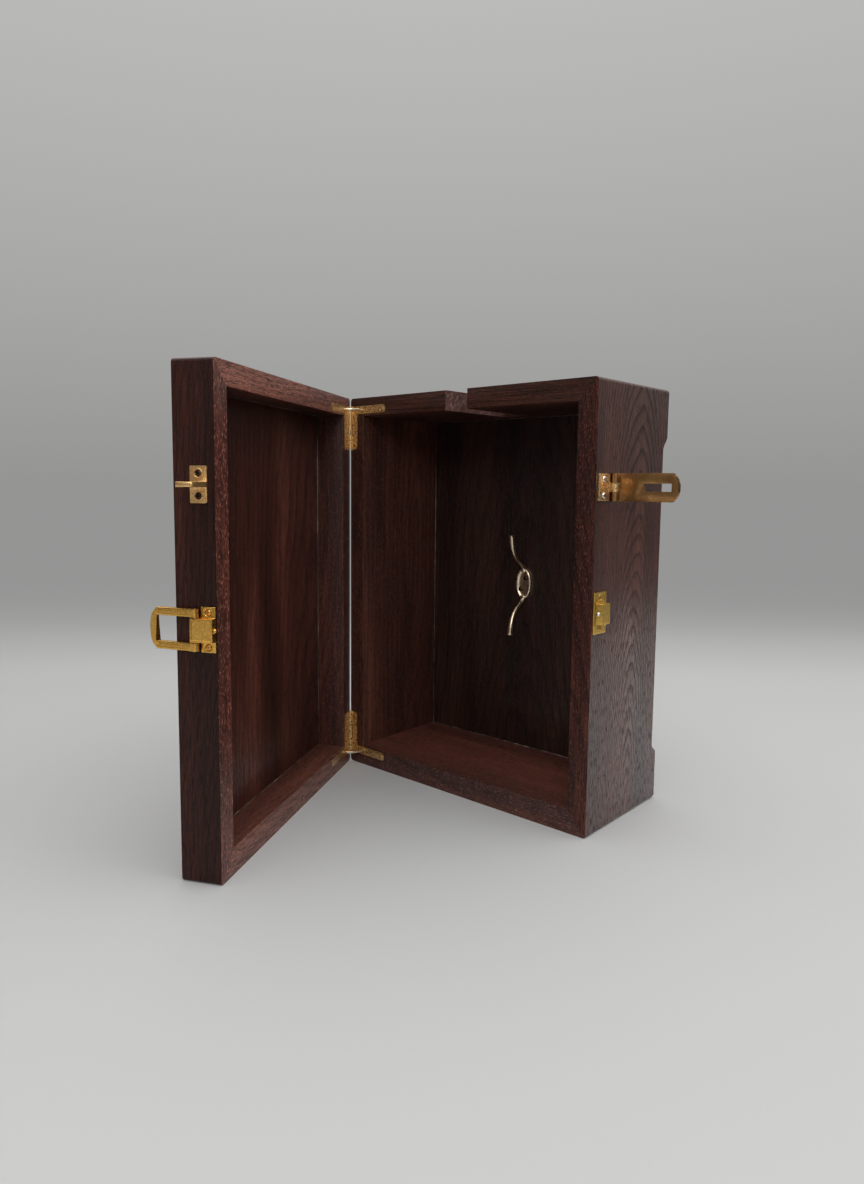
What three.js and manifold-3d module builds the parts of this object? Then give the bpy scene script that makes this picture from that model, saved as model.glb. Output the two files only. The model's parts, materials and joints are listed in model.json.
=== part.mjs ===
// Wooden wall case with a hinged box door and a brass cord cleat inside.
// Millimetres, +Z up, front towards -Y, right side towards +X.
// The origin is the middle of the case's underside.
// The door stands open, the strap of the hasp stands out and the loop of the catch is folded out.
import * as THREE from "three";
import * as BufferGeometryUtils from "three/addons/utils/BufferGeometryUtils.js";
import Module from "manifold-3d";

// Case
const CASE_W = 224;
const CASE_H = 300;
const CASE_D = 99.5;
const SIDE_T = 14.5;
const TOP_T = 14.5;
const BOTTOM_T = 16.5;
const CORNER_R = 2.6;
const BACK_FACE_Y = 89.5;
const BACK_T = 3.7;
const BACK_LAP = 4;
const SIDE_BACK_Y = 93.2;
const SCOOP_TOP_Z = 268;
const SCOOP_UPPER_Z = 257.5;
const SCOOP_LOWER_Z = 41.5;
const SCOOP_BOTTOM_Z = 34.5;
const CORD_SLOT_X = 109.5;
const CORD_SLOT_W = 20;
const CORD_SLOT_END_Y = 73.5;

// Door
const RIM_GAP = 0.8;
const DOOR_D = 25.5;
const STILE_W = 15.5;
const RAIL_TOP_W = 14.5;
const RAIL_BOTTOM_W = 16.5;
const PANEL_IN_V = 22;
const PANEL_LAP = 5;
const FIELD_EDGE = 3;
const FIELD_PROUD = 2;
const DOOR_OPEN_DEG = 62.5;

// Quadrant hinges
const PIN_X = -0.3;
const PIN_Y = -0.4;
const LEAF_T = 1.8;
const LEAF_W = 6.3;
const LEAF_LEG = 34.3;
const LEAF_X = 0.9;
const LEAF_LEVEL_LEG = 37.6;
const DOOR_LEAF_W = 11.4;
const DOOR_LEAF_LEVEL_LEG = 41;
const BARREL_R = 1.9;
const BARREL_ROOM = 0.4;
const PIN_R = 0.9;
const PIN_FIT = 0.05;
const TOP_HINGE_Z = 293.7;
const BOTTOM_HINGE_Z = 8;
const STAY_R = 13.5;
const STAY_W = 2;
const STAY_T = 1.6;
const STAY_HALF_DEG = 52;
const STAY_ROOM = 0.3;

// Hasp
const HASP_Z = 231;
const HASP_AXIS_S = 3.2;
const HASP_AXIS_Y = 19.2;
const HASP_LEAF_T = 1.4;
const HASP_LEAF_H = 17.2;
const HASP_BARREL_R = 3;
const HASP_PIN_R = 1;
const STRAP_L = 43.3;
const STRAP_H = 18;
const STRAP_T = 1.8;
const STRAP_SLOT_IN = 19.8;
const STRAP_SLOT_OUT = 38.2;
const STRAP_SLOT_H = 5;

// Staple
const STAPLE_V0 = 4.2;
const STAPLE_V1 = 14.6;
const STAPLE_H = 20.6;
const STAPLE_T = 1.5;
const TAB_T = 3;
const TAB_OUT = 17;
const TAB_HOLE_R = 2.4;

// Catch with its swinging loop, and its keeper
const CATCH_Z = 150;
const EAR_T = 1.2;
const EAR_H = 26;
const EAR_LEN = 9.1;
const HOUSING_V0 = 0.5;
const HOUSING_V1 = 14.5;
const HOUSING_H = 13.6;
const HOUSING_OUT = 5.2;
const LOOP_AXIS_V = 12;
const LOOP_AXIS_S = 3.2;
const LOOP_INSIDE_L = 25;
const LOOP_END_T = 2.6;
const LOOP_BULGE = 1.8;
const LOOP_INSIDE_H = 14.7;
const LOOP_ARM_W = 4.6;
const LOOP_DEEP = 3;
const LOOP_EYE_R = 2.1;
const LOOP_PIN_R = 1;
const LOOP_LEAN_DEG = 5.5;
const KEEPER_Y0 = 0.8;
const KEEPER_Y1 = 15.8;
const KEEPER_H = 27;
const KEEPER_T = 1.3;
const KEEPER_BLOCK_Y0 = 1.9;
const KEEPER_BLOCK_Y1 = 11.7;
const KEEPER_BLOCK_H = 13.5;
const KEEPER_BLOCK_OUT = 6.4;
const BALL_R = 1.6;

// Cleat
const CLEAT_X = 111.3;
const CLEAT_Z = 152.3;
const CLEAT_BASE_W = 14.6;
const CLEAT_BASE_H = 25.4;
const CLEAT_BASE_T = 3.2;
const HORN_R = 1.9;
const HORN_REACH = 40;
const HORN_OUT = 20.4;

const wasm = await Module();
wasm.setup();

function solidOf(geometry) {
  const bare = new THREE.BufferGeometry();
  const plain = geometry.index ? geometry.toNonIndexed() : geometry;
  bare.setAttribute("position", plain.getAttribute("position").clone());
  const merged = BufferGeometryUtils.mergeVertices(bare, 1e-4);
  const mesh = new wasm.Mesh({
    numProp: 3,
    vertProperties: new Float32Array(merged.getAttribute("position").array),
    triVerts: new Uint32Array(merged.index.array),
  });
  return new wasm.Manifold(mesh);
}

function geometryOf(solid) {
  const mesh = solid.getMesh();
  const geometry = new THREE.BufferGeometry();
  geometry.setAttribute("position", new THREE.BufferAttribute(new Float32Array(mesh.vertProperties), 3));
  geometry.setIndex(new THREE.BufferAttribute(new Uint32Array(mesh.triVerts), 1));
  return geometry;
}

function block(x0, x1, y0, y1, z0, z1) {
  const geometry = new THREE.BoxGeometry(x1 - x0, y1 - y0, z1 - z0);
  geometry.translate((x0 + x1) / 2, (y0 + y1) / 2, (z0 + z1) / 2);
  return solidOf(geometry);
}

function outline(points) {
  return new THREE.Shape(points.map(([a, b]) => new THREE.Vector2(a, b)));
}

// A profile drawn in X and Z and run back along Y.
function prismAlongY(shape, y0, y1) {
  const geometry = new THREE.ExtrudeGeometry(shape, { depth: y1 - y0, bevelEnabled: false, curveSegments: 8 });
  geometry.rotateX(Math.PI / 2);
  geometry.translate(0, y1, 0);
  return solidOf(geometry);
}

// A profile drawn in X and Y and run up along Z.
function prismAlongZ(shape, z0, z1, segments = 16) {
  const geometry = new THREE.ExtrudeGeometry(shape, { depth: z1 - z0, bevelEnabled: false, curveSegments: segments });
  geometry.translate(0, 0, z0);
  return solidOf(geometry);
}

// A profile drawn in Y and Z and run along X.
function prismAlongX(shape, x0, x1) {
  const geometry = new THREE.ExtrudeGeometry(shape, { depth: x1 - x0, bevelEnabled: false });
  geometry.rotateY(Math.PI / 2);
  geometry.rotateX(Math.PI / 2);
  geometry.translate(x0, 0, 0);
  return solidOf(geometry);
}

function uprightRod(x, y, r, z0, z1, segments = 16) {
  const geometry = new THREE.CylinderGeometry(r, r, z1 - z0, segments);
  geometry.rotateX(Math.PI / 2);
  geometry.translate(x, y, (z0 + z1) / 2);
  return solidOf(geometry);
}

function ballAt(x, y, z, r, segments = 12) {
  const geometry = new THREE.SphereGeometry(r, segments, 8);
  geometry.translate(x, y, z);
  return solidOf(geometry);
}

function turnedAbout(solid, x, y, degrees) {
  return solid.translate([-x, -y, 0]).rotate([0, 0, degrees]).translate([x, y, 0]);
}

function withDoor(solid) {
  return turnedAbout(solid, PIN_X, PIN_Y, -DOOR_OPEN_DEG);
}

// A countersunk wood screw. Its head's flat is at the given point and it runs along the given way in.
function screwShape(headR, shankR, length, room) {
  const r = headR + room;
  const s = shankR + room;
  const rise = 0.12 + room;
  const points = [
    new THREE.Vector2(0, -length - room),
    new THREE.Vector2(s, -length - room),
    new THREE.Vector2(s, -(headR - shankR) - 0.25),
    new THREE.Vector2(r, -0.25),
    new THREE.Vector2(r, rise - 0.12),
    new THREE.Vector2(r * 0.75, rise),
    new THREE.Vector2(0, rise),
  ];
  return new THREE.LatheGeometry(points, 12);
}

function screwAt(point, outward, headR, shankR, length, room) {
  const geometry = screwShape(headR, shankR, length, room);
  const up = new THREE.Vector3(0, 1, 0);
  geometry.applyQuaternion(new THREE.Quaternion().setFromUnitVectors(up, new THREE.Vector3(...outward)));
  geometry.translate(...point);
  return solidOf(geometry);
}

const parts = new Map();

function keep(name, solid, colour, shiny) {
  parts.set(name, { solid, colour, shiny });
}

const WOOD = 0x5b3527;
const DARK_WOOD = 0x2c1a15;
const YELLOW_BRASS = 0xc9a04a;
const OLD_BRASS = 0x7a5a2c;
const STEEL = 0xb9bcc0;

// Screws are cut out of everything they pass through.
const screws = [];

function screw(name, point, outward, headR, shankR, length, colour, through, onDoor) {
  screws.push({ name, point, outward, headR, shankR, length, colour, through, onDoor });
}

// ---- Case boards, mitred at the corners ----
const caseRound = new THREE.Shape();
caseRound.moveTo(CORNER_R, 0);
caseRound.lineTo(CASE_W - CORNER_R, 0);
caseRound.absarc(CASE_W - CORNER_R, CORNER_R, CORNER_R, -Math.PI / 2, 0);
caseRound.lineTo(CASE_W, CASE_H - CORNER_R);
caseRound.absarc(CASE_W - CORNER_R, CASE_H - CORNER_R, CORNER_R, 0, Math.PI / 2);
caseRound.lineTo(CORNER_R, CASE_H);
caseRound.absarc(CORNER_R, CASE_H - CORNER_R, CORNER_R, Math.PI / 2, Math.PI);
caseRound.lineTo(0, CORNER_R);
caseRound.absarc(CORNER_R, CORNER_R, CORNER_R, Math.PI, Math.PI * 1.5);

function mitredBoards(sideT, topT, bottomT, y0, y1) {
  const ix1 = CASE_W - sideT;
  const iz1 = CASE_H - topT;
  const round = prismAlongY(caseRound, y0, y1);
  const left = outline([[0, 0], [sideT, bottomT], [sideT, iz1], [0, CASE_H]]);
  const right = outline([[CASE_W, 0], [CASE_W, CASE_H], [ix1, iz1], [ix1, bottomT]]);
  const top = outline([[0, CASE_H], [sideT, iz1], [ix1, iz1], [CASE_W, CASE_H]]);
  const bottom = outline([[0, 0], [CASE_W, 0], [ix1, bottomT], [sideT, bottomT]]);
  return [left, right, top, bottom].map((shape) => prismAlongY(shape, y0, y1).intersect(round));
}

let [caseLeft, caseRight, caseTop, caseBottom] = mitredBoards(SIDE_T, TOP_T, BOTTOM_T, 0, CASE_D);

const lap = BACK_LAP;
const backPanel = block(SIDE_T - lap, CASE_W - SIDE_T + lap, BACK_FACE_Y, BACK_FACE_Y + BACK_T,
  BOTTOM_T - lap, CASE_H - TOP_T + lap);
const backGroove = block(SIDE_T - lap - 0.1, CASE_W - SIDE_T + lap + 0.1, BACK_FACE_Y, BACK_FACE_Y + BACK_T,
  BOTTOM_T - lap - 0.1, CASE_H - TOP_T + lap + 0.1);
caseLeft = caseLeft.subtract(backGroove);
caseRight = caseRight.subtract(backGroove);
caseTop = caseTop.subtract(backGroove);
caseBottom = caseBottom.subtract(backGroove);

// The back edges of both side boards are scooped so that the case clears a cable on the wall.
const scoop = [[CASE_D + 1, SCOOP_BOTTOM_Z]];
for (let i = 0; i <= 6; i += 1) {
  const t = i / 6;
  const ease = t * t * (3 - 2 * t);
  scoop.push([CASE_D - (CASE_D - SIDE_BACK_Y) * ease, SCOOP_BOTTOM_Z + (SCOOP_LOWER_Z - SCOOP_BOTTOM_Z) * t]);
}
for (let i = 0; i <= 6; i += 1) {
  const t = i / 6;
  const ease = t * t * (3 - 2 * t);
  scoop.push([SIDE_BACK_Y + (CASE_D - SIDE_BACK_Y) * ease, SCOOP_UPPER_Z + (SCOOP_TOP_Z - SCOOP_UPPER_Z) * t]);
}
scoop.push([CASE_D + 1, SCOOP_TOP_Z]);
caseLeft = caseLeft.subtract(prismAlongX(outline(scoop), -1, SIDE_T + 1));
caseRight = caseRight.subtract(prismAlongX(outline(scoop), CASE_W - SIDE_T - 1, CASE_W + 1));

const slotHalf = CORD_SLOT_W / 2;
const cordSlot = block(CORD_SLOT_X - slotHalf, CORD_SLOT_X + slotHalf, -1, CORD_SLOT_END_Y,
  CASE_H - TOP_T - 2, CASE_H + 2);
caseTop = caseTop.subtract(cordSlot);

// ---- Door, drawn shut ----
const doorBack = -RIM_GAP;
const doorFront = -RIM_GAP - DOOR_D;
const panelIn = -RIM_GAP - PANEL_IN_V;
let [doorHinge, doorFree, doorTop, doorBottom] =
  mitredBoards(STILE_W, RAIL_TOP_W, RAIL_BOTTOM_W, doorFront, doorBack);
const panelX0 = STILE_W - PANEL_LAP;
const panelX1 = CASE_W - STILE_W + PANEL_LAP;
const panelZ0 = RAIL_BOTTOM_W - PANEL_LAP;
const panelZ1 = CASE_H - RAIL_TOP_W + PANEL_LAP;
const rebate = block(panelX0 - 0.1, panelX1 + 0.1, doorFront - 1, panelIn, panelZ0 - 0.1, panelZ1 + 0.1);
doorHinge = doorHinge.subtract(rebate);
doorFree = doorFree.subtract(rebate);
doorTop = doorTop.subtract(rebate);
doorBottom = doorBottom.subtract(rebate);
const panelCore = block(panelX0, panelX1, doorFront, panelIn, panelZ0, panelZ1);
const fieldY = doorFront - FIELD_PROUD;
const panelField = block(FIELD_EDGE, CASE_W - FIELD_EDGE, fieldY, doorFront, 13, CASE_H - 9);
const doorPanel = panelCore.add(panelField);

// ---- Quadrant hinges ----
// The case leaf has the two outer knuckles, the door leaf the middle one.
function arcPocket(r0, r1, from, to, z0, z1) {
  const shape = new THREE.Shape();
  const a = THREE.MathUtils.degToRad(from);
  const b = THREE.MathUtils.degToRad(to);
  shape.absarc(PIN_X, PIN_Y, r1, a, b, false);
  shape.absarc(PIN_X, PIN_Y, r0, b, a, true);
  return prismAlongZ(shape, z0, z1, 14);
}

function mirrorToDoor(solid) {
  return solid.translate([0, -PIN_Y, 0]).mirror([0, 1, 0]).translate([0, PIN_Y, 0]);
}

function hinge(end, z0, z1) {
  const atTop = end === "top";
  const levelZ0 = atTop ? z1 - LEAF_W : z0;
  const levelZ1 = atTop ? z1 : z0 + LEAF_W;
  const stayZ = (levelZ0 + levelZ1) / 2;
  const third = (z1 - z0) / 3;
  const leafPlate = (wide, long) => block(LEAF_X, LEAF_X + wide, 0, LEAF_T, z0, z1)
    .add(block(LEAF_X, LEAF_X + long, 0, LEAF_T, levelZ0, levelZ1));
  const leafMortise = (wide, long) => block(LEAF_X - 2, LEAF_X + wide + 0.1, -1, LEAF_T, z0 - 0.1, z1 + 0.1)
    .add(block(LEAF_X - 2, LEAF_X + long + 0.1, -1, LEAF_T, levelZ0 - 0.1, levelZ1 + 0.1));
  const plate = leafPlate(LEAF_W, LEAF_LEVEL_LEG);
  const doorPlate = leafPlate(DOOR_LEAF_W, DOOR_LEAF_LEVEL_LEG);
  const mortise = leafMortise(LEAF_W, LEAF_LEVEL_LEG);
  const doorMortise = mirrorToDoor(leafMortise(DOOR_LEAF_W, DOOR_LEAF_LEVEL_LEG));
  const barrelRoom = uprightRod(PIN_X, PIN_Y, BARREL_R + BARREL_ROOM, z0 - 0.3, z1 + 0.3, 20);
  const hole = uprightRod(PIN_X, PIN_Y, PIN_R + PIN_FIT, z0 - 1, z1 + 1);
  const pocket = arcPocket(STAY_R - STAY_W / 2 - STAY_ROOM, STAY_R + STAY_W / 2 + STAY_ROOM, -8, 55,
    stayZ - STAY_T / 2 - STAY_ROOM, stayZ + STAY_T / 2 + STAY_ROOM);
  const lowKnuckle = uprightRod(PIN_X, PIN_Y, BARREL_R, z0, z0 + third - 0.15);
  const midKnuckle = uprightRod(PIN_X, PIN_Y, BARREL_R, z0 + third + 0.15, z1 - third - 0.15);
  const highKnuckle = uprightRod(PIN_X, PIN_Y, BARREL_R, z1 - third + 0.15, z1);
  const midRoom = uprightRod(PIN_X, PIN_Y, BARREL_R + BARREL_ROOM, z0 + third - 0.15, z1 - third + 0.15, 20);
  const lowRoom = uprightRod(PIN_X, PIN_Y, BARREL_R + BARREL_ROOM, z0 - 1, z0 + third + 0.15, 20);
  const highRoom = uprightRod(PIN_X, PIN_Y, BARREL_R + BARREL_ROOM, z1 - third - 0.15, z1 + 1, 20);
  const tie = block(PIN_X, LEAF_X + 1, PIN_Y + 0.5, LEAF_T, z0, z1);
  const caseLeaf = plate.add(tie).subtract(midRoom).add(lowKnuckle).add(highKnuckle)
    .subtract(hole).subtract(pocket);
  const doorLeaf = mirrorToDoor(doorPlate.add(tie)).subtract(lowRoom).subtract(highRoom).add(midKnuckle)
    .subtract(hole).subtract(mirrorToDoor(pocket));
  caseLeft = caseLeft.subtract(mortise).subtract(barrelRoom).subtract(pocket);
  doorHinge = doorHinge.subtract(doorMortise).subtract(barrelRoom).subtract(mirrorToDoor(pocket));
  if (atTop) {
    caseTop = caseTop.subtract(mortise).subtract(barrelRoom).subtract(pocket);
    doorTop = doorTop.subtract(doorMortise).subtract(barrelRoom).subtract(mirrorToDoor(pocket));
  } else {
    caseBottom = caseBottom.subtract(mortise).subtract(barrelRoom).subtract(pocket);
    doorBottom = doorBottom.subtract(doorMortise).subtract(barrelRoom).subtract(mirrorToDoor(pocket));
  }
  const pin = uprightRod(PIN_X, PIN_Y, PIN_R, z0, z1);
  const stay = arcPocket(STAY_R - STAY_W / 2, STAY_R + STAY_W / 2, -STAY_HALF_DEG, STAY_HALF_DEG,
    stayZ - STAY_T / 2, stayZ + STAY_T / 2);
  const turnedStay = turnedAbout(stay, PIN_X, PIN_Y, -DOOR_OPEN_DEG / 2);
  const uprightX = LEAF_X + LEAF_W / 2;
  const uprightZ = atTop ? z0 + 4 : z1 - 4;
  const levelX = LEAF_X + LEAF_LEVEL_LEG - 4;
  const doorUprightX = LEAF_X + DOOR_LEAF_W / 2;
  const doorLevelX = LEAF_X + DOOR_LEAF_LEVEL_LEG - 4;
  const doorY = 2 * PIN_Y;
  const caseWood = [`case_${end}`, "case_left"];
  const doorWood = [`door_rail_${end}`, "door_stile_hinge"];
  screw(`hinge_${end}_case_screw_upright`, [uprightX, 0, uprightZ], [0, -1, 0], 1.8, 0.9, 9,
    OLD_BRASS, [`hinge_${end}_leaf_case`, ...caseWood], false);
  screw(`hinge_${end}_case_screw_level`, [levelX, 0, stayZ], [0, -1, 0], 1.8, 0.9, 9,
    OLD_BRASS, [`hinge_${end}_leaf_case`, ...caseWood], false);
  screw(`hinge_${end}_door_screw_upright`, [doorUprightX, doorY, uprightZ], [0, 1, 0], 1.8, 0.9, 9,
    OLD_BRASS, [`hinge_${end}_leaf_door`, ...doorWood], true);
  screw(`hinge_${end}_door_screw_level`, [doorLevelX, doorY, stayZ], [0, 1, 0], 1.8, 0.9, 9,
    OLD_BRASS, [`hinge_${end}_leaf_door`, ...doorWood], true);
  return { caseLeaf, doorLeaf, pin, turnedStay };
}

const hingeTop = hinge("top", TOP_HINGE_Z - LEAF_LEG, TOP_HINGE_Z);
const hingeBottom = hinge("bottom", BOTTOM_HINGE_Z, BOTTOM_HINGE_Z + LEAF_LEG);

// ---- Hasp on the right side of the case ----
const haspX = CASE_W + HASP_AXIS_S;
const leafZ0 = HASP_Z - HASP_LEAF_H / 2;
const leafZ1 = HASP_Z + HASP_LEAF_H / 2;
const middleZ0 = HASP_Z - 2.9;
const middleZ1 = HASP_Z + 2.9;
const haspHole = uprightRod(haspX, HASP_AXIS_Y, HASP_PIN_R + PIN_FIT, HASP_Z - 12, HASP_Z + 12);
const haspLeaf = block(CASE_W, CASE_W + HASP_LEAF_T, 2.3, 15.4, leafZ0, leafZ1)
  .add(block(CASE_W + 0.2, CASE_W + 1.6, 14, HASP_AXIS_Y, middleZ0, middleZ1))
  .add(uprightRod(haspX, HASP_AXIS_Y, HASP_BARREL_R, middleZ0, middleZ1, 20))
  .subtract(haspHole);
const haspPin = uprightRod(haspX, HASP_AXIS_Y, HASP_PIN_R, HASP_Z - STRAP_H / 2, HASP_Z + STRAP_H / 2);

// The strap, standing straight out. Its near part is set back so that the far part lies over the staple.
const strapProfile = outline([
  [0, 0.4], [7.4, 0.4], [12.4, -0.8], [STRAP_L, -0.8],
  [STRAP_L, -0.8 + STRAP_T], [13, 1], [8, 0.4 + STRAP_T], [0, 0.4 + STRAP_T],
]);
const strapZ0 = HASP_Z - STRAP_H / 2;
const strapZ1 = HASP_Z + STRAP_H / 2;
const strapEnd = outline([
  [-4, strapZ0], [STRAP_L - 4, strapZ0], [STRAP_L - 1.2, strapZ0 + 3.2], [STRAP_L, strapZ0 + 7],
  [STRAP_L, strapZ1 - 7], [STRAP_L - 1.2, strapZ1 - 3.2], [STRAP_L - 4, strapZ1], [-4, strapZ1],
]);
const strapSlot = block(STRAP_SLOT_IN, STRAP_SLOT_OUT, -4, 4,
  HASP_Z - STRAP_SLOT_H / 2, HASP_Z + STRAP_SLOT_H / 2);
const haspStrap = prismAlongZ(strapProfile, strapZ0, strapZ1)
  .intersect(prismAlongY(strapEnd, -5, 5))
  .subtract(strapSlot)
  .translate([haspX, HASP_AXIS_Y, 0])
  .subtract(uprightRod(haspX, HASP_AXIS_Y, HASP_BARREL_R + 0.35, middleZ0 - 0.3, middleZ1 + 0.3, 20))
  .add(uprightRod(haspX, HASP_AXIS_Y, HASP_BARREL_R, strapZ0, middleZ0 - 0.3, 20))
  .add(uprightRod(haspX, HASP_AXIS_Y, HASP_BARREL_R, middleZ1 + 0.3, strapZ1, 20))
  .subtract(haspHole);

for (const [label, dz] of [["upper", 5.2], ["lower", -5.2]]) {
  screw(`hasp_screw_${label}`, [CASE_W + HASP_LEAF_T, 8, HASP_Z + dz], [1, 0, 0], 2.1, 1, 9,
    STEEL, ["hasp_leaf", "case_right"], false);
}

// ---- Staple on the free side of the door ----
const stapleY0 = -RIM_GAP - STAPLE_V1;
const stapleY1 = -RIM_GAP - STAPLE_V0;
const stapleMid = (stapleY0 + stapleY1) / 2;
const staple = block(CASE_W, CASE_W + STAPLE_T, stapleY0, stapleY1,
  HASP_Z - STAPLE_H / 2, HASP_Z + STAPLE_H / 2)
  .add(block(CASE_W, CASE_W + TAB_OUT, stapleY0, stapleY1, HASP_Z - TAB_T / 2, HASP_Z + TAB_T / 2))
  .subtract(uprightRod(CASE_W + TAB_OUT - 5, stapleMid, TAB_HOLE_R, HASP_Z - 4, HASP_Z + 4, 20));
for (const [label, dz] of [["upper", 6.2], ["lower", -6.2]]) {
  screw(`staple_screw_${label}`, [CASE_W + STAPLE_T, stapleMid, HASP_Z + dz], [1, 0, 0], 2.4, 1.1, 9,
    OLD_BRASS, ["staple", "door_stile_free"], true);
}

// ---- Catch with its swinging loop, on the free side of the door ----
const loopX = CASE_W + LOOP_AXIS_S;
const loopY = -RIM_GAP - LOOP_AXIS_V;
const catchHole = uprightRod(loopX, loopY, LOOP_PIN_R + PIN_FIT, CATCH_Z - 15, CATCH_Z + 15);
const housingY0 = -RIM_GAP - HOUSING_V1;
const housingY1 = -RIM_GAP - HOUSING_V0;
const catchBase = block(CASE_W, CASE_W + EAR_T, housingY1 - EAR_LEN, housingY1,
  CATCH_Z - EAR_H / 2, CATCH_Z + EAR_H / 2)
  .add(block(CASE_W, CASE_W + HOUSING_OUT, housingY0, housingY1,
    CATCH_Z - HOUSING_H / 2, CATCH_Z + HOUSING_H / 2))
  .subtract(ballAt(CASE_W + 3, housingY1 + 0.4, CATCH_Z, BALL_R + 0.3))
  .subtract(catchHole);
const loopPin = uprightRod(loopX, loopY, LOOP_PIN_R, CATCH_Z - 12.1, CATCH_Z + 12.1);

const loopHalf = LOOP_INSIDE_H / 2;
const loopOuter = loopHalf + LOOP_ARM_W;
const loopShape = new THREE.Shape();
loopShape.moveTo(0, -loopOuter);
loopShape.lineTo(LOOP_INSIDE_L - 0.6, -loopOuter);
for (let i = 0; i <= 8; i += 1) {
  const t = -1 + i / 4;
  loopShape.lineTo(LOOP_INSIDE_L + LOOP_END_T + LOOP_BULGE * (1 - t * t) - 1.6 * t ** 6, t * (loopOuter - 1.4));
}
loopShape.lineTo(LOOP_INSIDE_L - 0.6, loopOuter);
loopShape.lineTo(0, loopOuter);
const loopEye0 = uprightRod(0, 0, LOOP_EYE_R, -loopOuter, -loopHalf);
const loopEye1 = uprightRod(0, 0, LOOP_EYE_R, loopHalf, loopOuter);
const catchLoop = prismAlongY(loopShape, -LOOP_DEEP / 2, LOOP_DEEP / 2)
  .subtract(block(-3, LOOP_INSIDE_L, -4, 4, -loopHalf, loopHalf))
  .add(loopEye0)
  .add(loopEye1)
  .subtract(uprightRod(0, 0, LOOP_PIN_R + PIN_FIT, -20, 20))
  .rotate([0, 0, -90 - LOOP_LEAN_DEG])
  .translate([loopX, loopY, CATCH_Z]);
for (const [label, dz] of [["upper", 9.8], ["lower", -9.8]]) {
  screw(`catch_screw_${label}`, [CASE_W + EAR_T, housingY1 - 4.6, CATCH_Z + dz], [1, 0, 0], 1.9, 0.95, 9,
    YELLOW_BRASS, ["catch_base", "door_stile_free"], true);
}

// ---- Keeper on the right side of the case ----
const keeper = block(CASE_W, CASE_W + KEEPER_T, KEEPER_Y0, KEEPER_Y1,
  CATCH_Z - KEEPER_H / 2, CATCH_Z + KEEPER_H / 2)
  .add(block(CASE_W, CASE_W + KEEPER_BLOCK_OUT, KEEPER_BLOCK_Y0, KEEPER_BLOCK_Y1,
    CATCH_Z - KEEPER_BLOCK_H / 2, CATCH_Z + KEEPER_BLOCK_H / 2))
  .subtract(ballAt(CASE_W + 3.4, KEEPER_BLOCK_Y0 + 0.3, CATCH_Z, BALL_R + 0.05));
const keeperBall = ballAt(CASE_W + 3.4, KEEPER_BLOCK_Y0 + 0.3, CATCH_Z, BALL_R);
for (const [label, dz] of [["upper", 10.1], ["lower", -10.1]]) {
  screw(`keeper_screw_${label}`, [CASE_W + KEEPER_T, 8.2, CATCH_Z + dz], [1, 0, 0], 1.9, 0.95, 9,
    YELLOW_BRASS, ["keeper", "case_right"], false);
}

// ---- Cleat on the back panel ----
const cleatBaseRound = new THREE.CylinderGeometry(CLEAT_BASE_W / 2 - 0.9, CLEAT_BASE_W / 2, CLEAT_BASE_T, 24);
cleatBaseRound.scale(1, 1, CLEAT_BASE_H / CLEAT_BASE_W);
cleatBaseRound.rotateX(Math.PI);
cleatBaseRound.translate(CLEAT_X, BACK_FACE_Y - CLEAT_BASE_T / 2, CLEAT_Z);
let cleat = solidOf(cleatBaseRound);
for (const way of [1, -1]) {
  const along = [[9, 1.6], [13, 3.2], [15.8, 6.8], [20.4, 12.8], [27.5, 17.6], [34, 19.8], [HORN_REACH - 1, HORN_OUT]];
  const path = new THREE.CatmullRomCurve3(
    along.map(([z, out]) => new THREE.Vector3(CLEAT_X, BACK_FACE_Y - out, CLEAT_Z + way * z)));
  const ring = new THREE.Shape();
  ring.absarc(0, 0, HORN_R, 0, Math.PI * 2);
  const horn = new THREE.ExtrudeGeometry(ring, { steps: 10, extrudePath: path, curveSegments: 5 });
  const cap = new THREE.CylinderGeometry(HORN_R + 0.8, HORN_R + 0.6, 1.6, 12);
  cap.rotateX(Math.PI / 2);
  cap.translate(CLEAT_X, BACK_FACE_Y - HORN_OUT, CLEAT_Z + way * (HORN_REACH - 0.8));
  cleat = cleat.add(solidOf(horn)).add(solidOf(cap));
}
cleat = cleat.subtract(block(CLEAT_X - 20, CLEAT_X + 20, BACK_FACE_Y, BACK_FACE_Y + 20, 100, 200));
screw("cleat_screw_upper", [CLEAT_X + 2.3, BACK_FACE_Y - CLEAT_BASE_T, CLEAT_Z + 4.6], [0, -1, 0], 2.1, 1, 6.2,
  YELLOW_BRASS, ["cleat", "case_back"], false);
screw("cleat_screw_lower", [CLEAT_X - 2.3, BACK_FACE_Y - CLEAT_BASE_T, CLEAT_Z - 4.6], [0, -1, 0], 2.1, 1, 6.2,
  YELLOW_BRASS, ["cleat", "case_back"], false);

keep("case_left", caseLeft, WOOD, false);
keep("case_right", caseRight, WOOD, false);
keep("case_top", caseTop, WOOD, false);
keep("case_bottom", caseBottom, WOOD, false);
keep("case_back", backPanel, DARK_WOOD, false);
keep("door_stile_hinge", doorHinge, WOOD, false);
keep("door_stile_free", doorFree, WOOD, false);
keep("door_rail_top", doorTop, WOOD, false);
keep("door_rail_bottom", doorBottom, WOOD, false);
keep("door_panel", doorPanel, DARK_WOOD, false);
keep("hinge_top_leaf_case", hingeTop.caseLeaf, OLD_BRASS, true);
keep("hinge_top_leaf_door", hingeTop.doorLeaf, OLD_BRASS, true);
keep("hinge_top_pin", hingeTop.pin, OLD_BRASS, true);
keep("hinge_top_stay", hingeTop.turnedStay, OLD_BRASS, true);
keep("hinge_bottom_leaf_case", hingeBottom.caseLeaf, OLD_BRASS, true);
keep("hinge_bottom_leaf_door", hingeBottom.doorLeaf, OLD_BRASS, true);
keep("hinge_bottom_pin", hingeBottom.pin, OLD_BRASS, true);
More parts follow.
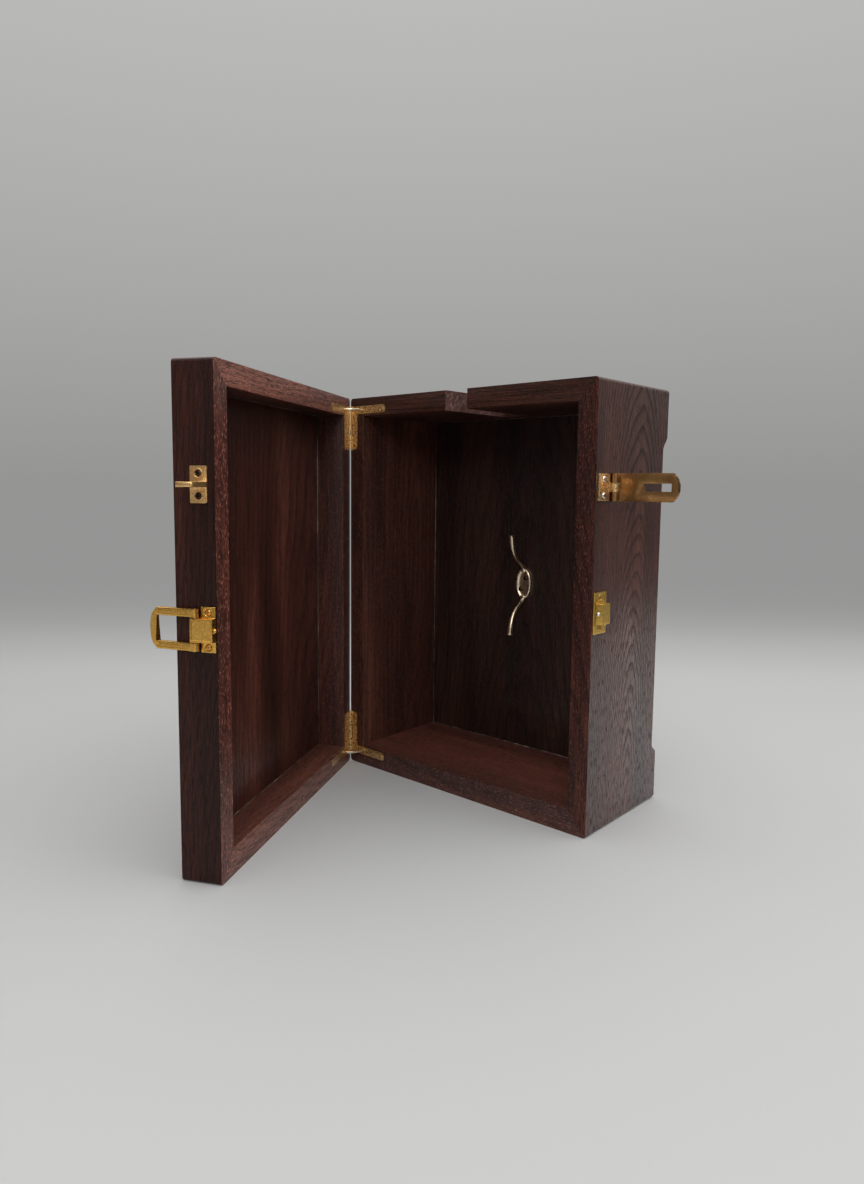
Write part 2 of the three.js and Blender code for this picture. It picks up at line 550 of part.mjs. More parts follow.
keep("hinge_bottom_stay", hingeBottom.turnedStay, OLD_BRASS, true);
keep("hasp_leaf", haspLeaf, OLD_BRASS, true);
keep("hasp_strap", haspStrap, OLD_BRASS, true);
keep("hasp_pin", haspPin, OLD_BRASS, true);
keep("staple", staple, OLD_BRASS, true);
keep("catch_base", catchBase, YELLOW_BRASS, true);
keep("catch_loop", catchLoop, YELLOW_BRASS, true);
keep("catch_loop_pin", loopPin, YELLOW_BRASS, true);
keep("keeper", keeper, YELLOW_BRASS, true);
keep("keeper_ball", keeperBall, STEEL, true);
keep("cleat", cleat, YELLOW_BRASS, true);

for (const item of screws) {
  const room = screwAt(item.point, item.outward, item.headR, item.shankR, item.length, 0.1);
  for (const name of item.through) {
    const part = parts.get(name);
    part.solid = part.solid.subtract(room);
  }
  keep(item.name, screwAt(item.point, item.outward, item.headR, item.shankR, item.length, 0), item.colour, true);
}

// The door and everything on it swing open together.
const doorParts = new Set([
  "door_stile_hinge", "door_stile_free", "door_rail_top", "door_rail_bottom", "door_panel",
  "hinge_top_leaf_door", "hinge_bottom_leaf_door", "staple", "catch_base", "catch_loop", "catch_loop_pin",
  ...screws.filter((item) => item.onDoor).map((item) => item.name),
]);

const model = new THREE.Group();
model.name = "cord_case";
for (const [name, part] of parts) {
  const placed = doorParts.has(name) ? withDoor(part.solid) : part.solid;
  const geometry = geometryOf(placed.translate([-CASE_W / 2, -CASE_D / 2, 0]));
  const material = new THREE.MeshStandardMaterial({
    color: part.colour,
    metalness: part.shiny ? 0.9 : 0,
    roughness: part.shiny ? 0.35 : 0.6,
  });
  material.name = part.shiny ? `metal_${name}` : `wood_${name}`;
  const mesh = new THREE.Mesh(geometry, material);
  mesh.name = name;
  model.add(mesh);
}

export default model;
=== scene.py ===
# %% [markdown]
# # A small wooden cord case with a hinged door
# The case is a shallow box of stained boards. A door hangs on its left edge and stands open, and brass
# fittings hold it shut. The CAD frame already has each board and fitting at full size, in metres.
# This lesson gives them their looks: it copies each board and softens its edges, models the fittings again
# with more detail, and writes a wood or metal finish for each of them.

# %% Load the frame
import json
import math

import bmesh
import bpy
from mathutils import Matrix, Vector

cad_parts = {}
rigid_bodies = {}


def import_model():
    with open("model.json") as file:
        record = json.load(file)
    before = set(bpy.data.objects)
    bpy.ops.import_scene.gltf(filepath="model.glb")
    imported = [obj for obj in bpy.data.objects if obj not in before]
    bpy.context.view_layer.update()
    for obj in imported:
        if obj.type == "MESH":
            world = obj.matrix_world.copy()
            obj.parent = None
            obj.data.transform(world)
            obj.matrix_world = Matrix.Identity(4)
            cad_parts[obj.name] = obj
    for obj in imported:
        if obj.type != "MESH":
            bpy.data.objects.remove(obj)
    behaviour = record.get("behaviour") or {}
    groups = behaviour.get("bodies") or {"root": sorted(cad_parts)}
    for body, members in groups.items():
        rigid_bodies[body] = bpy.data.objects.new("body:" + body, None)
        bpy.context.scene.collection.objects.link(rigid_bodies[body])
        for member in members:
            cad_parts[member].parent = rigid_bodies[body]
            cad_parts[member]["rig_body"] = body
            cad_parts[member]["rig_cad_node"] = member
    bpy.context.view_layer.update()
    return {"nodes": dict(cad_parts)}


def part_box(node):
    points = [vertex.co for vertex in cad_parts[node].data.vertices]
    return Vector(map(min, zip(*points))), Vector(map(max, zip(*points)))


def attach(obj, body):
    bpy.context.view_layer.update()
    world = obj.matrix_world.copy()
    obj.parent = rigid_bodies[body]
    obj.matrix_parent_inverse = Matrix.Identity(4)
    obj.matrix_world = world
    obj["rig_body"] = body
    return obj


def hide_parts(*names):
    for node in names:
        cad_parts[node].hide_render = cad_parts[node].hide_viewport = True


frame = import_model()
nodes = frame["nodes"]

# %% [markdown]
# ## Measures
# The case is drawn in millimetres from its lower left front corner, which reads like a workshop drawing.
# `place` turns such a point into the frame's metres, where the middle of the underside is the origin.
# The door is easiest to shape while it is shut, so its pieces are made shut and then swung open.

# %% Measures and places
MM = 0.001
CASE_W = 224.0
CASE_D = 99.5
CASE_H = 300.0
SIDE_T = 14.5
BOTTOM_T = 16.5
BACK_FACE_Y = 89.5
HASP_Z = 231.0
CATCH_Z = 150.0
DOOR_ANGLE = math.radians(62.5)
RIM_GAP = 0.8


def place(x, y, z):
    """A point of the drawing, in millimetres, as a point of the frame in metres."""
    return Vector(((x - CASE_W / 2) * MM, (y - CASE_D / 2) * MM, z * MM))


def to_drawing(point):
    """A point of the frame in metres as a point of the drawing in millimetres."""
    return Vector((point.x / MM + CASE_W / 2, point.y / MM + CASE_D / 2, point.z / MM))


PIN = place(-0.3, -0.4, 0)
OPEN = Matrix.Translation(PIN) @ Matrix.Rotation(-DOOR_ANGLE, 4, "Z") @ Matrix.Translation(-PIN)
SHUT = OPEN.inverted()
print("door pin at", tuple(round(c, 4) for c in PIN))

# %% [markdown]
# ## Small helpers
# An operator acts on all that is selected, so each step starts by selecting one object alone.
# In edit mode the faces or edges are picked by a rule, such as "the edges that run upright".

# %% Selecting and finishing helpers
def alone(obj):
    """Selects one object and nothing else."""
    bpy.ops.object.select_all(action="DESELECT")
    obj.select_set(True)
    bpy.context.view_layer.objects.active = obj
    return obj


def edit(obj):
    alone(obj)
    bpy.ops.object.mode_set(mode="EDIT")
    bpy.ops.mesh.select_mode(type="VERT")
    bpy.ops.mesh.select_all(action="DESELECT")
    return bmesh.from_edit_mesh(obj.data)


def done(obj):
    bpy.ops.object.mode_set(mode="OBJECT")
    return obj


def select_edges(obj, rule):
    """Goes to edit mode with the edges selected for which rule says yes."""
    mesh = edit(obj)
    bpy.ops.mesh.select_mode(type="EDGE")
    count = 0
    for edge in mesh.edges:
        edge.select = bool(rule(edge))
        count += edge.select
    mesh.select_flush_mode()
    bmesh.update_edit_mesh(obj.data)
    return count


def select_faces(obj, rule):
    """Goes to edit mode with the faces selected for which rule says yes."""
    mesh = edit(obj)
    bpy.ops.mesh.select_mode(type="FACE")
    count = 0
    for face in mesh.faces:
        face.select = bool(rule(face))
        count += face.select
    mesh.select_flush_mode()
    bmesh.update_edit_mesh(obj.data)
    return count


def bevel_edges(obj, rule, width_mm, steps=2):
    """Rounds the edges that the rule picks."""
    count = select_edges(obj, rule)
    if count:
        bpy.ops.mesh.bevel(offset=width_mm * MM, segments=steps, profile=0.5, affect="EDGES",
                           clamp_overlap=False)
    done(obj)
    return count


def turn(obj, matrix):
    """Turns the mesh of an object by a matrix, and leaves the object itself at the origin."""
    alone(obj)
    obj.matrix_world = matrix @ obj.matrix_world
    bpy.ops.object.transform_apply(location=True, rotation=True, scale=True)
    return obj


def smooth(obj, degrees=35):
    alone(obj)
    bpy.ops.object.shade_smooth_by_angle(angle=math.radians(degrees))
    return obj


def sharp(edge, degrees=30):
    return len(edge.link_faces) == 2 and edge.calc_face_angle(0) > math.radians(degrees)


def tidy_mesh(obj):
    """Merges doubles, and turns the faces outwards."""
    edit(obj)
    bpy.ops.mesh.select_all(action="SELECT")
    bpy.ops.mesh.remove_doubles(threshold=0.000005)
    bpy.ops.mesh.normals_make_consistent(inside=False)
    return done(obj)


def copy_of_node(name, piece_name):
    """A merged copy of a CAD node, with no tie to it."""
    alone(nodes[name])
    bpy.ops.object.duplicate()
    piece = bpy.context.object
    piece.name = piece_name
    piece.data.name = piece_name
    world = piece.matrix_world.copy()
    piece.parent = None
    piece.matrix_world = world
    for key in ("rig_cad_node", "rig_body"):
        if key in piece:
            del piece[key]
    piece.data.materials.clear()
    if piece.data.has_custom_normals:
        bpy.ops.mesh.customdata_custom_splitnormals_clear()
    edit(piece)
    bpy.ops.mesh.select_all(action="SELECT")
    bpy.ops.mesh.remove_doubles(threshold=0.000002)
    bpy.ops.mesh.dissolve_limited(angle_limit=math.radians(0.6))
    return done(piece)


def finish_piece(piece, body, slot_name, material, *replaced):
    """Gives a piece its material and its body, and hides the CAD nodes that it stands for. slot_name is not
    used.
    """
    piece.data.materials.clear()
    piece.data.materials.append(material)
    if replaced:
        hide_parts(*replaced)
    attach(piece, body)
    return piece

# %% [markdown]
# ## Stained wood
# The boards are an open-grained wood under a dark red-brown stain. Three things make it read as wood:
# growth rings that meander and rise in arches, fine streaks along the grain, and short open pores that catch
# dark stain. The streaks and pores are noise stretched along the grain, and the rings are a wave bent by
# noise, so a Mapping node first turns the pattern to lie along each board. A door board is turned back by the
# door's angle too, because the door stands open.

# %% A small node builder
class Recipe:
    """Adds nodes to one material in a compact way."""

    def __init__(self, name):
        self.material = bpy.data.materials.new(name)
        self.material.use_nodes = True
        self.tree = self.material.node_tree
        self.tree.nodes.clear()
        self.out = self.tree.nodes.new("ShaderNodeOutputMaterial")
        self.shader = self.tree.nodes.new("ShaderNodeBsdfPrincipled")
        self.tree.links.new(self.shader.outputs["BSDF"], self.out.inputs["Surface"])
        self.coords = self.tree.nodes.new("ShaderNodeTexCoord").outputs["Object"]

    def node(self, kind, inputs=(), **settings):
        made = self.tree.nodes.new(kind)
        for key, value in settings.items():
            setattr(made, key, value)
        for key, value in dict(inputs).items():
            if hasattr(value, "is_output"):
                self.tree.links.new(value, made.inputs[key])
            else:
                made.inputs[key].default_value = value
        return made

    def mapped(self, vector, rotation=(0, 0, 0), scale=(1, 1, 1), location=(0, 0, 0)):
        return self.node("ShaderNodeMapping", {"Vector": vector, "Rotation": rotation, "Scale": scale,
                                               "Location": location}).outputs["Vector"]

    def noise(self, vector, scale, detail=3.0, rough=0.55):
        return self.node("ShaderNodeTexNoise", {"Vector": vector, "Scale": scale, "Detail": detail,
                                                "Roughness": rough, "Distortion": 0.0}).outputs["Fac"]

    def ramp(self, fac, *stops):
        made = self.node("ShaderNodeValToRGB", {"Fac": fac})
        ramp = made.color_ramp
        while len(ramp.elements) < len(stops):
            ramp.elements.new(0.5)
        for element, (position, colour) in zip(ramp.elements, stops):
            element.position = position
            grey = not hasattr(colour, "__len__")
            element.color = (colour, colour, colour, 1) if grey else (*colour, 1)
        return made.outputs["Color"]

    def math(self, operation, a, b=0.0, clamp=False):
        return self.node("ShaderNodeMath", {0: a, 1: b}, operation=operation, use_clamp=clamp).outputs[0]

    def mix(self, fac, a, b, blend="MIX"):
        made = self.tree.nodes.new("ShaderNodeMix")
        made.data_type = "RGBA"
        made.blend_type = blend
        for index, value in ((0, fac), (6, a), (7, b)):
            if hasattr(value, "is_output"):
                self.tree.links.new(value, made.inputs[index])
            elif index == 0:
                made.inputs[index].default_value = value
            else:
                made.inputs[index].default_value = (*value, 1)
        return made.outputs[2]

    def bump(self, height, strength, distance_mm):
        normal = self.node("ShaderNodeBump", {"Height": height, "Strength": strength,
                                              "Distance": distance_mm * MM}).outputs["Normal"]
        self.tree.links.new(normal, self.shader.inputs["Normal"])

    def use(self, socket, value):
        if hasattr(value, "is_output"):
            self.tree.links.new(value, self.shader.inputs[socket])
        elif hasattr(value, "__len__"):
            self.shader.inputs[socket].default_value = (*value, 1)
        else:
            self.shader.inputs[socket].default_value = value


# %% [markdown]
# ## The wood finish
# Colours are mixed in layers: a broad drift of stain, then rings, then streaks, then pale flecks and dark
# pores. A thin coat of lacquer lies on top. It is weak over pores and dark rings, so they break its sheen.

# %% The wood finish
DARK = (0.030, 0.0092, 0.0060)
MID = (0.070, 0.0205, 0.0128)
WARM = (0.125, 0.041, 0.026)
PORE = (0.013, 0.0046, 0.0034)
FLECK = (0.30, 0.135, 0.10)


def wood(name, grain="Z", door=False, heart=(0.0, 0.16), tilt=(0.12, 0.0), ring_mm=3.4, tone=1.0,
         red=1.0, flecks=0.3, pores=0.8, gloss=0.38, seed=0.0, rings=0.6, streaks=0.85, lacquer=0.2,
         sheen=0.4, wobble=0.016):
    """Stained wood with its grain along one axis of the drawing.

    heart is where the middle of the tree would be beside the board, and tilt leans it, which makes arches.
    """
    r = Recipe(name)
    lying = r.coords
    if door:
        lying = r.mapped(lying, rotation=(0, 0, DOOR_ANGLE))
    if grain == "X":
        lying = r.mapped(lying, rotation=(0, math.radians(90), 0))
    base = r.mapped(lying, location=(seed * 0.37, seed * 0.21, seed * 0.53))
    wander = r.node("ShaderNodeTexNoise", {"Vector": r.mapped(base, scale=(24, 24, 9)), "Scale": 1.0,
                                           "Detail": 2.5, "Roughness": 0.55}).outputs["Color"]
    wander = r.node("ShaderNodeVectorMath", {0: wander, 1: (0.5, 0.5, 0.5)}, operation="SUBTRACT").outputs[0]
    wander = r.node("ShaderNodeVectorMath", {0: wander, "Scale": wobble}, operation="SCALE").outputs[0]
    warped = r.node("ShaderNodeVectorMath", {0: lying, 1: wander}, operation="ADD").outputs[0]
    ringed = r.mapped(warped, rotation=(tilt[0], tilt[1], 0), location=(-heart[0], -heart[1], 0))
    growth = r.node("ShaderNodeTexWave", {"Vector": ringed, "Scale": 0.314 / (ring_mm * MM),
                                          "Distortion": 0.0, "Detail": 0.0},
                    wave_type="RINGS", rings_direction="Z", wave_profile="SAW").outputs["Fac"]
    broad = r.noise(r.mapped(base, scale=(26, 26, 3.0)), 1.0, 3.0, 0.55)
    streak = r.noise(r.mapped(base, scale=(1150, 1150, 22)), 1.0, 4.0, 0.62)
    pore = r.noise(r.mapped(base, scale=(1500, 1500, 150)), 1.0, 2.0, 0.55)
    fleck = r.noise(r.mapped(base, scale=(1350, 1350, 420), location=(3, 5, 7)), 1.0, 2.0, 0.5)

    def toned(colour):
        return (colour[0] * tone * red, colour[1] * tone, colour[2] * tone)

    body = r.ramp(broad, (0.34, toned(DARK)), (0.52, toned(MID)), (0.70, toned(WARM)))
    ring_shade = r.ramp(growth, (0.0, 0.85), (0.12, 1.12), (0.62, 1.0), (0.88, 0.52), (1.0, 0.40))
    body = r.mix(rings, body, ring_shade, "MULTIPLY")
    streak_shade = r.ramp(streak, (0.30, 0.34), (0.5, 1.0), (0.70, 1.75))
    body = r.mix(streaks, body, streak_shade, "MULTIPLY")
    fleck_mask = r.ramp(fleck, (0.56, 0.0), (0.70, 1.0))
    body = r.mix(r.math("MULTIPLY", fleck_mask, flecks), body, toned(FLECK))
    pore_mask = r.ramp(pore, (0.55, 0.0), (0.66, 1.0))
    body = r.mix(r.math("MULTIPLY", pore_mask, pores), body, toned(PORE))
    r.use("Base Color", body)
    rough = r.math("ADD", r.math("MULTIPLY", pore_mask, 0.22), gloss)
    rough = r.math("ADD", rough, r.math("MULTIPLY", streak, 0.10))
    r.use("Roughness", rough)
    r.use("Specular IOR Level", sheen)
    dry_pores = r.ramp(pore, (0.50, 1.0), (0.60, 0.12))
    dry_rings = r.ramp(growth, (0.55, 1.0), (0.9, 0.25))
    shine = r.math("MULTIPLY", dry_pores, dry_rings)
    r.use("Coat Weight", r.math("MULTIPLY", shine, lacquer * 1.35))
    r.use("Coat Roughness", 0.16)
    height = r.math("SUBTRACT", r.math("MULTIPLY", streak, 0.55), pore_mask)
    height = r.math("SUBTRACT", height, r.math("MULTIPLY", growth, 0.3))
    r.bump(height, 0.6, 0.18)
    return r.material


def end_grain(name):
    """The cut end of a board: pale pores in slanting rows."""
    r = Recipe(name)
    base = r.mapped(r.coords, rotation=(math.radians(38), 0, 0))
    pore = r.noise(r.mapped(base, scale=(900, 900, 260)), 1.0, 3.0, 0.6)
    rows = r.noise(r.mapped(base, scale=(60, 420, 60)), 1.0, 2.0, 0.5)
    body = r.ramp(rows, (0.3, (0.036, 0.012, 0.009)), (0.7, (0.110, 0.044, 0.034)))
    body = r.mix(r.ramp(pore, (0.52, 0.0), (0.66, 1.0)), body, (0.27, 0.14, 0.115))
    r.use("Base Color", body)
    r.use("Roughness", 0.55)
    r.bump(pore, 0.5, 0.2)
    return r.material


# %% [markdown]
# ## The boards
# Each board is a copy of its CAD node. Its loose triangles are merged, flat faces are joined again, and the
# long edges along the grain get a small round, as sandpaper leaves them. The mitred ends stay sharp, so that
# the boards meet in a fine line.

# %% Board maker
def board(node, grain, material, door=False, body="case", slot_name="stained_wood", width=0.55):
    piece = copy_of_node(node, node + "_board")
    if door:
        turn(piece, SHUT)
    axis = Vector((0, 0, 1)) if grain == "Z" else Vector((1, 0, 0))

    def along(edge):
        line = edge.verts[1].co - edge.verts[0].co
        spot = to_drawing((edge.verts[0].co + edge.verts[1].co) / 2)
        if spot.x < 0.5 and abs(spot.y + RIM_GAP / 2) < 0.6:
            return False
        return sharp(edge, 40) and line.length > 0.024 and abs(line.normalized().dot(axis)) > 0.98

    count = bevel_edges(piece, along, width, 3)
    if door:
        turn(piece, OPEN)
    smooth(piece, 32)
    finish_piece(piece, body, slot_name, material, node)
    print(node, "edges rounded:", count, "faces:", len(piece.data.polygons))
    return piece


# %% [markdown]
# ## The boards and their rims
# Every board has its own place in the tree, so no two show the same rings. The rims where case and door meet
# have a second material with a shade of its own, and on the door it is clearly lighter than the board. The
# free side of the door is dark, and the back panel is far darker than the other boards. Part of these
# differences stands in for light that the lamps do not give: the door's lighter rims are painted light, the
# dark free side is painted shade, and the back panel is a darker stain with painted shade on top.

# %% Make the boards
WOODS = {
    "case_left": dict(grain="Z", seed=1.0, tone=1.05, heart=(-0.072, 0.01), tilt=(0.02, 0.14), ring_mm=5),
    "case_right": dict(grain="Z", seed=2.0, tone=1.0, heart=(0.112, 0.004), tilt=(0.02, 0.17), ring_mm=2.3,
                       wobble=0.006, rings=1.0, flecks=0.10, lacquer=0.9, streaks=1.0),
    "case_top": dict(grain="X", seed=3.0, tone=0.85, heart=(-0.26, 0.05)),
    "case_bottom": dict(grain="X", seed=4.0, tone=1.6, red=1.05, heart=(0.04, 0.05)),
    "door_stile_hinge": dict(grain="Z", seed=5.0, tone=1.0, red=1.1, door=True, heart=(0.1, -0.2)),
    "door_stile_free": dict(grain="Z", seed=6.0, tone=0.50, red=1.1, door=True, flecks=0.1, heart=(0.2, -0.2),
                            lacquer=0.02, sheen=0.2),
    "door_rail_top": dict(grain="X", seed=7.0, tone=0.9, door=True, flecks=0.3, heart=(-0.33, -0.2)),
    "door_rail_bottom": dict(grain="X", seed=8.0, tone=1.1, door=True, flecks=0.3, heart=(0.05, -0.2)),
    # The back panel's low tone: a darker, less red stain with painted shade on top, for the deep shade inside
    # the case.
    "case_back": dict(grain="Z", seed=9.0, tone=0.42, red=0.86, flecks=0.05, gloss=0.42, ring_mm=5,
                      heart=(0.0, 0.08)),
    "door_panel": dict(grain="Z", seed=10.0, tone=0.85, red=1.12, flecks=0.12, gloss=0.36, ring_mm=6,
                       door=True, heart=(0.02, -0.1)),
}
RIMS = {
    "case_left": dict(tone=0.8, flecks=0.4, lacquer=0.02, sheen=0.28),
    "case_right": dict(tone=0.95, red=1.2, flecks=0.35, lacquer=0.02, sheen=0.28),
    "case_top": dict(tone=0.48, flecks=0.3, lacquer=0.02, sheen=0.25),
    "case_bottom": dict(tone=1.3, flecks=0.4, lacquer=0.2),
    "door_stile_hinge": dict(tone=1.6, flecks=0.5, lacquer=0.05),
    "door_stile_free": dict(tone=2.0, red=1.15, flecks=0.6, lacquer=0.1, sheen=0.4),
    "door_rail_top": dict(tone=2.3, flecks=0.6, lacquer=0.2),
    "door_rail_bottom": dict(tone=1.7, flecks=0.6, lacquer=0.3),
}
boards = {}
for node_name, look in WOODS.items():
    is_door = look.get("door", False)
    is_panel = node_name in ("case_back", "door_panel")
    piece = board(node_name, look["grain"], wood("wood_" + node_name, **look), door=is_door,
                  body="door" if is_door else "case", slot_name="dark_panel" if is_panel else "stained_wood",
                  width=0.4 if is_panel else 0.55)
    boards[node_name] = piece
    if is_panel:
        continue
    rim_look = {**look, **RIMS[node_name]}
    piece.data.materials.append(wood("rim_" + node_name, **rim_look))
    towards = OPEN.to_3x3() @ Vector((0, 1, 0)) if is_door else Vector((0, -1, 0))
    for face in piece.data.polygons:
        if face.normal.dot(towards) > 0.7:
            face.material_index = 1
print("boards made:", len(boards))

# %% [markdown]
# ## End grain in the cord slot
# The slot in the top board is cut across the grain, so its two side walls show the pale ends of the pores.
# The board gets a second material, given to those faces only.

# %% End grain faces
top_board = boards["case_top"]
top_board.data.materials.append(end_grain("wood_end_grain"))
cut_faces = 0
for face in top_board.data.polygons:
    spot = to_drawing(face.center)
    if abs(face.normal.x) > 0.9 and 95 < spot.x < 125:
        face.material_index = len(top_board.data.materials) - 1
        cut_faces += 1
print("end grain faces:", cut_faces)

# %% [markdown]
# ## Brass and steel
# The fittings are brass of several ages: bright yellow on the catch and keeper, brown and mottled on the
# hinges and the hasp's leaf, a darker brown on its strap, pale and polished on the cleat. The keeper's yellow
# is the catch's made lighter. That extra lightness is painted light, standing in for light its faces do not
# catch here, and its coarser specks are its own. The strap's darker brown is partly its own colour and partly
# painted shade, for the shade that its face stands in. Four screws are near black, and on the staple that
# near black is painted shade for their sunk heads. The hasp's two screws are steel. Each finish mixes a clean
# and a tarnished colour by soft noise, adds fine scratches along the metal, and lets roughness follow the
# tarnish, so that worn places shine more.

# %% Metal finishes
def metal(name, clean, dull, spots=0.5, spot_scale=420, low=0.22, high=0.48, scratch=(40, 900, 900),
          pit=0.12, turn_z=0.0, grime=(0.05, 0.03, 0.018), grime_amount=0.5, speck=2.6, specked=(0.55, 0.72)):
    r = Recipe(name)
    base = r.mapped(r.coords, rotation=(0, 0, turn_z))
    patch = r.noise(r.mapped(base, scale=(spot_scale,) * 3), 1.0, 4.0, 0.6)
    lines = r.noise(r.mapped(base, scale=scratch), 1.0, 2.0, 0.5)
    specks = r.noise(r.mapped(base, scale=(spot_scale * speck,) * 3, location=(4, 1, 2)), 1.0, 3.0, 0.55)
    mask = r.ramp(patch, (0.5 - spots * 0.28, 0.0), (0.5 + spots * 0.28, 1.0))
    body = r.mix(mask, clean, dull)
    shade = r.ramp(lines, (0.3, 0.86), (0.7, 1.10))
    body = r.mix(0.8, body, shade, "MULTIPLY")
    dirt = r.ramp(specks, (specked[0], 0.0), (specked[1], 1.0))
    body = r.mix(r.math("MULTIPLY", dirt, grime_amount), body, grime)
    r.use("Base Color", body)
    r.use("Metallic", 1.0)
    rough = r.math("ADD", r.math("MULTIPLY", mask, high - low), low)
    rough = r.math("ADD", rough, r.math("MULTIPLY", dirt, 0.2), clamp=True)
    r.use("Roughness", rough)
    height = r.math("SUBTRACT", r.math("MULTIPLY", lines, 0.3), r.math("MULTIPLY", dirt, 0.7))
    r.bump(height, 0.5, pit)
    return r.material


YELLOW = metal("brass_yellow", (0.96, 0.55, 0.13), (0.62, 0.34, 0.07), spots=0.9, low=0.20, high=0.36,
               pit=0.06, grime_amount=0.25, turn_z=DOOR_ANGLE)
# Painted light: the keeper's yellow is the catch's made lighter, for light its faces do not catch from these
# lamps. Its coarser specks are its own.
YELLOW_KEEPER_PAINTED_LIGHTER = metal("brass_yellow_keeper_painted_lighter", (1.0, 0.66, 0.17), (0.74, 0.45, 0.09), spots=0.9, low=0.26,
                    high=0.42, pit=0.12, grime_amount=0.45, speck=1.8)
AGED_LOOK = dict(clean=(1.0, 0.74, 0.40), dull=(0.80, 0.50, 0.22), spots=0.35, spot_scale=620, low=0.30,
                 high=0.48, pit=0.35, grime=(0.035, 0.018, 0.010), grime_amount=0.95, speck=1.35,
                 specked=(0.53, 0.62))
AGED = metal("brass_aged", **AGED_LOOK)
AGED_DOOR = metal("brass_aged_door", turn_z=DOOR_ANGLE, **AGED_LOOK)
STAPLE = metal("brass_staple", (1.0, 0.63, 0.29), (0.72, 0.42, 0.16), spots=0.6, spot_scale=420, low=0.30,
               high=0.46, pit=0.18, grime_amount=0.5, turn_z=DOOR_ANGLE)
# Near black. On the staple's screws this near black is painted shade, for the shade in their sunk heads.
NEAR_BLACK = metal("screw_near_black", (0.10, 0.065, 0.045), (0.045, 0.03, 0.022), spots=0.8, low=0.30,
                  high=0.45)
# The strap's darker brown is partly its own colour and partly painted shade, for the shade that its face
# stands in.
STRAP_BROWN_AND_SHADE = metal("brass_strap_brown_and_shade", (0.58, 0.31, 0.12), (0.33, 0.17, 0.065), spots=0.8, spot_scale=160, low=0.24,
                high=0.38, pit=0.05, grime_amount=0.3, scratch=(60, 1400, 220))
POLISHED = metal("brass_polished", (1.0, 0.84, 0.62), (0.82, 0.64, 0.42), spots=0.8, spot_scale=240,
                 low=0.24, high=0.38, pit=0.04, grime_amount=0.15, scratch=(700, 700, 60))
STEEL = metal("steel_bright", (0.86, 0.87, 0.88), (0.66, 0.66, 0.66), spots=0.8, low=0.14, high=0.28,
              pit=0.03, grime=(0.2, 0.2, 0.2), grime_amount=0.25)

# %% [markdown]
# ## Screws
# Eighteen small wood screws hold the fittings. Two are modelled, one with a domed head and one with a low
# one: a round head raised by insets, and a cross recess cut by a Boolean with two thin blades, over a
# tapering shank. Their head has a radius of one unit. Each real screw is a scaled copy, set at the rim of its
# CAD node's head. A low head is sunk to just below the top of the CAD head, so that a hinge leaf or the loop
# can pass over it.

# %% One screw, and its copies
def master_screw(name, dome):
    """A screw with a head radius of 1, for scaling. Its plate level is z = 0 and its head looks up."""
    bpy.ops.object.select_all(action="DESELECT")
    bpy.ops.mesh.primitive_cylinder_add(vertices=32, radius=1, depth=0.25, location=(0, 0, -0.125))
    head = bpy.context.object
    head.name = name
    select_faces(head, lambda f: f.normal.z < -0.9)
    bpy.ops.mesh.extrude_region_move(TRANSFORM_OT_translate={"value": (0, 0, -0.48)})
    bpy.ops.transform.resize(value=(0.52, 0.52, 1), center_override=(0, 0, 0))
    bpy.ops.mesh.extrude_region_move(TRANSFORM_OT_translate={"value": (0, 0, -3.2)})
    bpy.ops.transform.resize(value=(0.7, 0.7, 1), center_override=(0, 0, 0))
    done(head)
    level = 0.0
    for inset, rise in ((0.16, 0.10), (0.24, 0.5), (0.24, 0.27), (0.2, 0.10)):
        select_faces(head, lambda f: f.normal.z > 0.9 and f.calc_center_median().z > level - 0.002)
        bpy.ops.mesh.inset(thickness=inset, depth=rise * dome)
        done(head)
        level = max(v.co.z + head.location.z for v in head.data.vertices)
    turn(head, Matrix.Identity(4))
    for angle in (25, 115):
        bpy.ops.object.select_all(action="DESELECT")
        bpy.ops.mesh.primitive_cube_add(size=1, location=(0, 0, dome * 0.9),
                                        rotation=(0, 0, math.radians(angle)), scale=(1.15, 0.26, 1.0))
        blade = bpy.context.object
        bpy.ops.object.transform_apply(location=True, rotation=True, scale=True)
        alone(head)
        cut = head.modifiers.new("recess", "BOOLEAN")
        cut.operation = "DIFFERENCE"
        cut.object = blade
        bpy.ops.object.modifier_apply(modifier="recess")
        bpy.data.objects.remove(blade)
    tidy_mesh(head)
    print(name, "head rises", round(max(v.co.z for v in head.data.vertices), 3))
    return head


LOW_DOME = 0.20
SCREWS = {
    "domed": master_screw("screw_domed", 0.42),
    "low": master_screw("screw_low", LOW_DOME),
}


def fit_screw(node, form, outward, head_mm, material, slot_name, body, door=False):
    """Puts a copy of a screw where its CAD node is."""
    turned = Vector(outward)
    if door:
        turned = Matrix.Rotation(-DOOR_ANGLE, 3, "Z") @ turned
    turned.normalize()
    corners = [v.co for v in nodes[node].data.vertices]
    top = max(c.dot(turned) for c in corners)
    rim = [c for c in corners if c.dot(turned) > top - 0.02 * MM]
    sink = 0.12 if form == "domed" else LOW_DOME * head_mm * 0.97 + 0.02
    spot = turned * (top - sink * MM)
    for axis in (turned.cross(Vector((0, 0, 1))), Vector((0, 0, 1))):
        reach = [c.dot(axis) for c in rim]
        spot += axis * (min(reach) + max(reach)) / 2
    piece = SCREWS[form].copy()
    piece.data = SCREWS[form].data.copy()
    piece.name = node + "_head"
    bpy.context.scene.collection.objects.link(piece)
    stand = turned.to_track_quat("Z", "Y").to_matrix().to_4x4()
    place_it = Matrix.Translation(spot) @ stand @ Matrix.Scale(head_mm * MM, 4)
    piece.data.transform(place_it)
    smooth(piece, 40)
    return finish_piece(piece, body, slot_name, material, node)


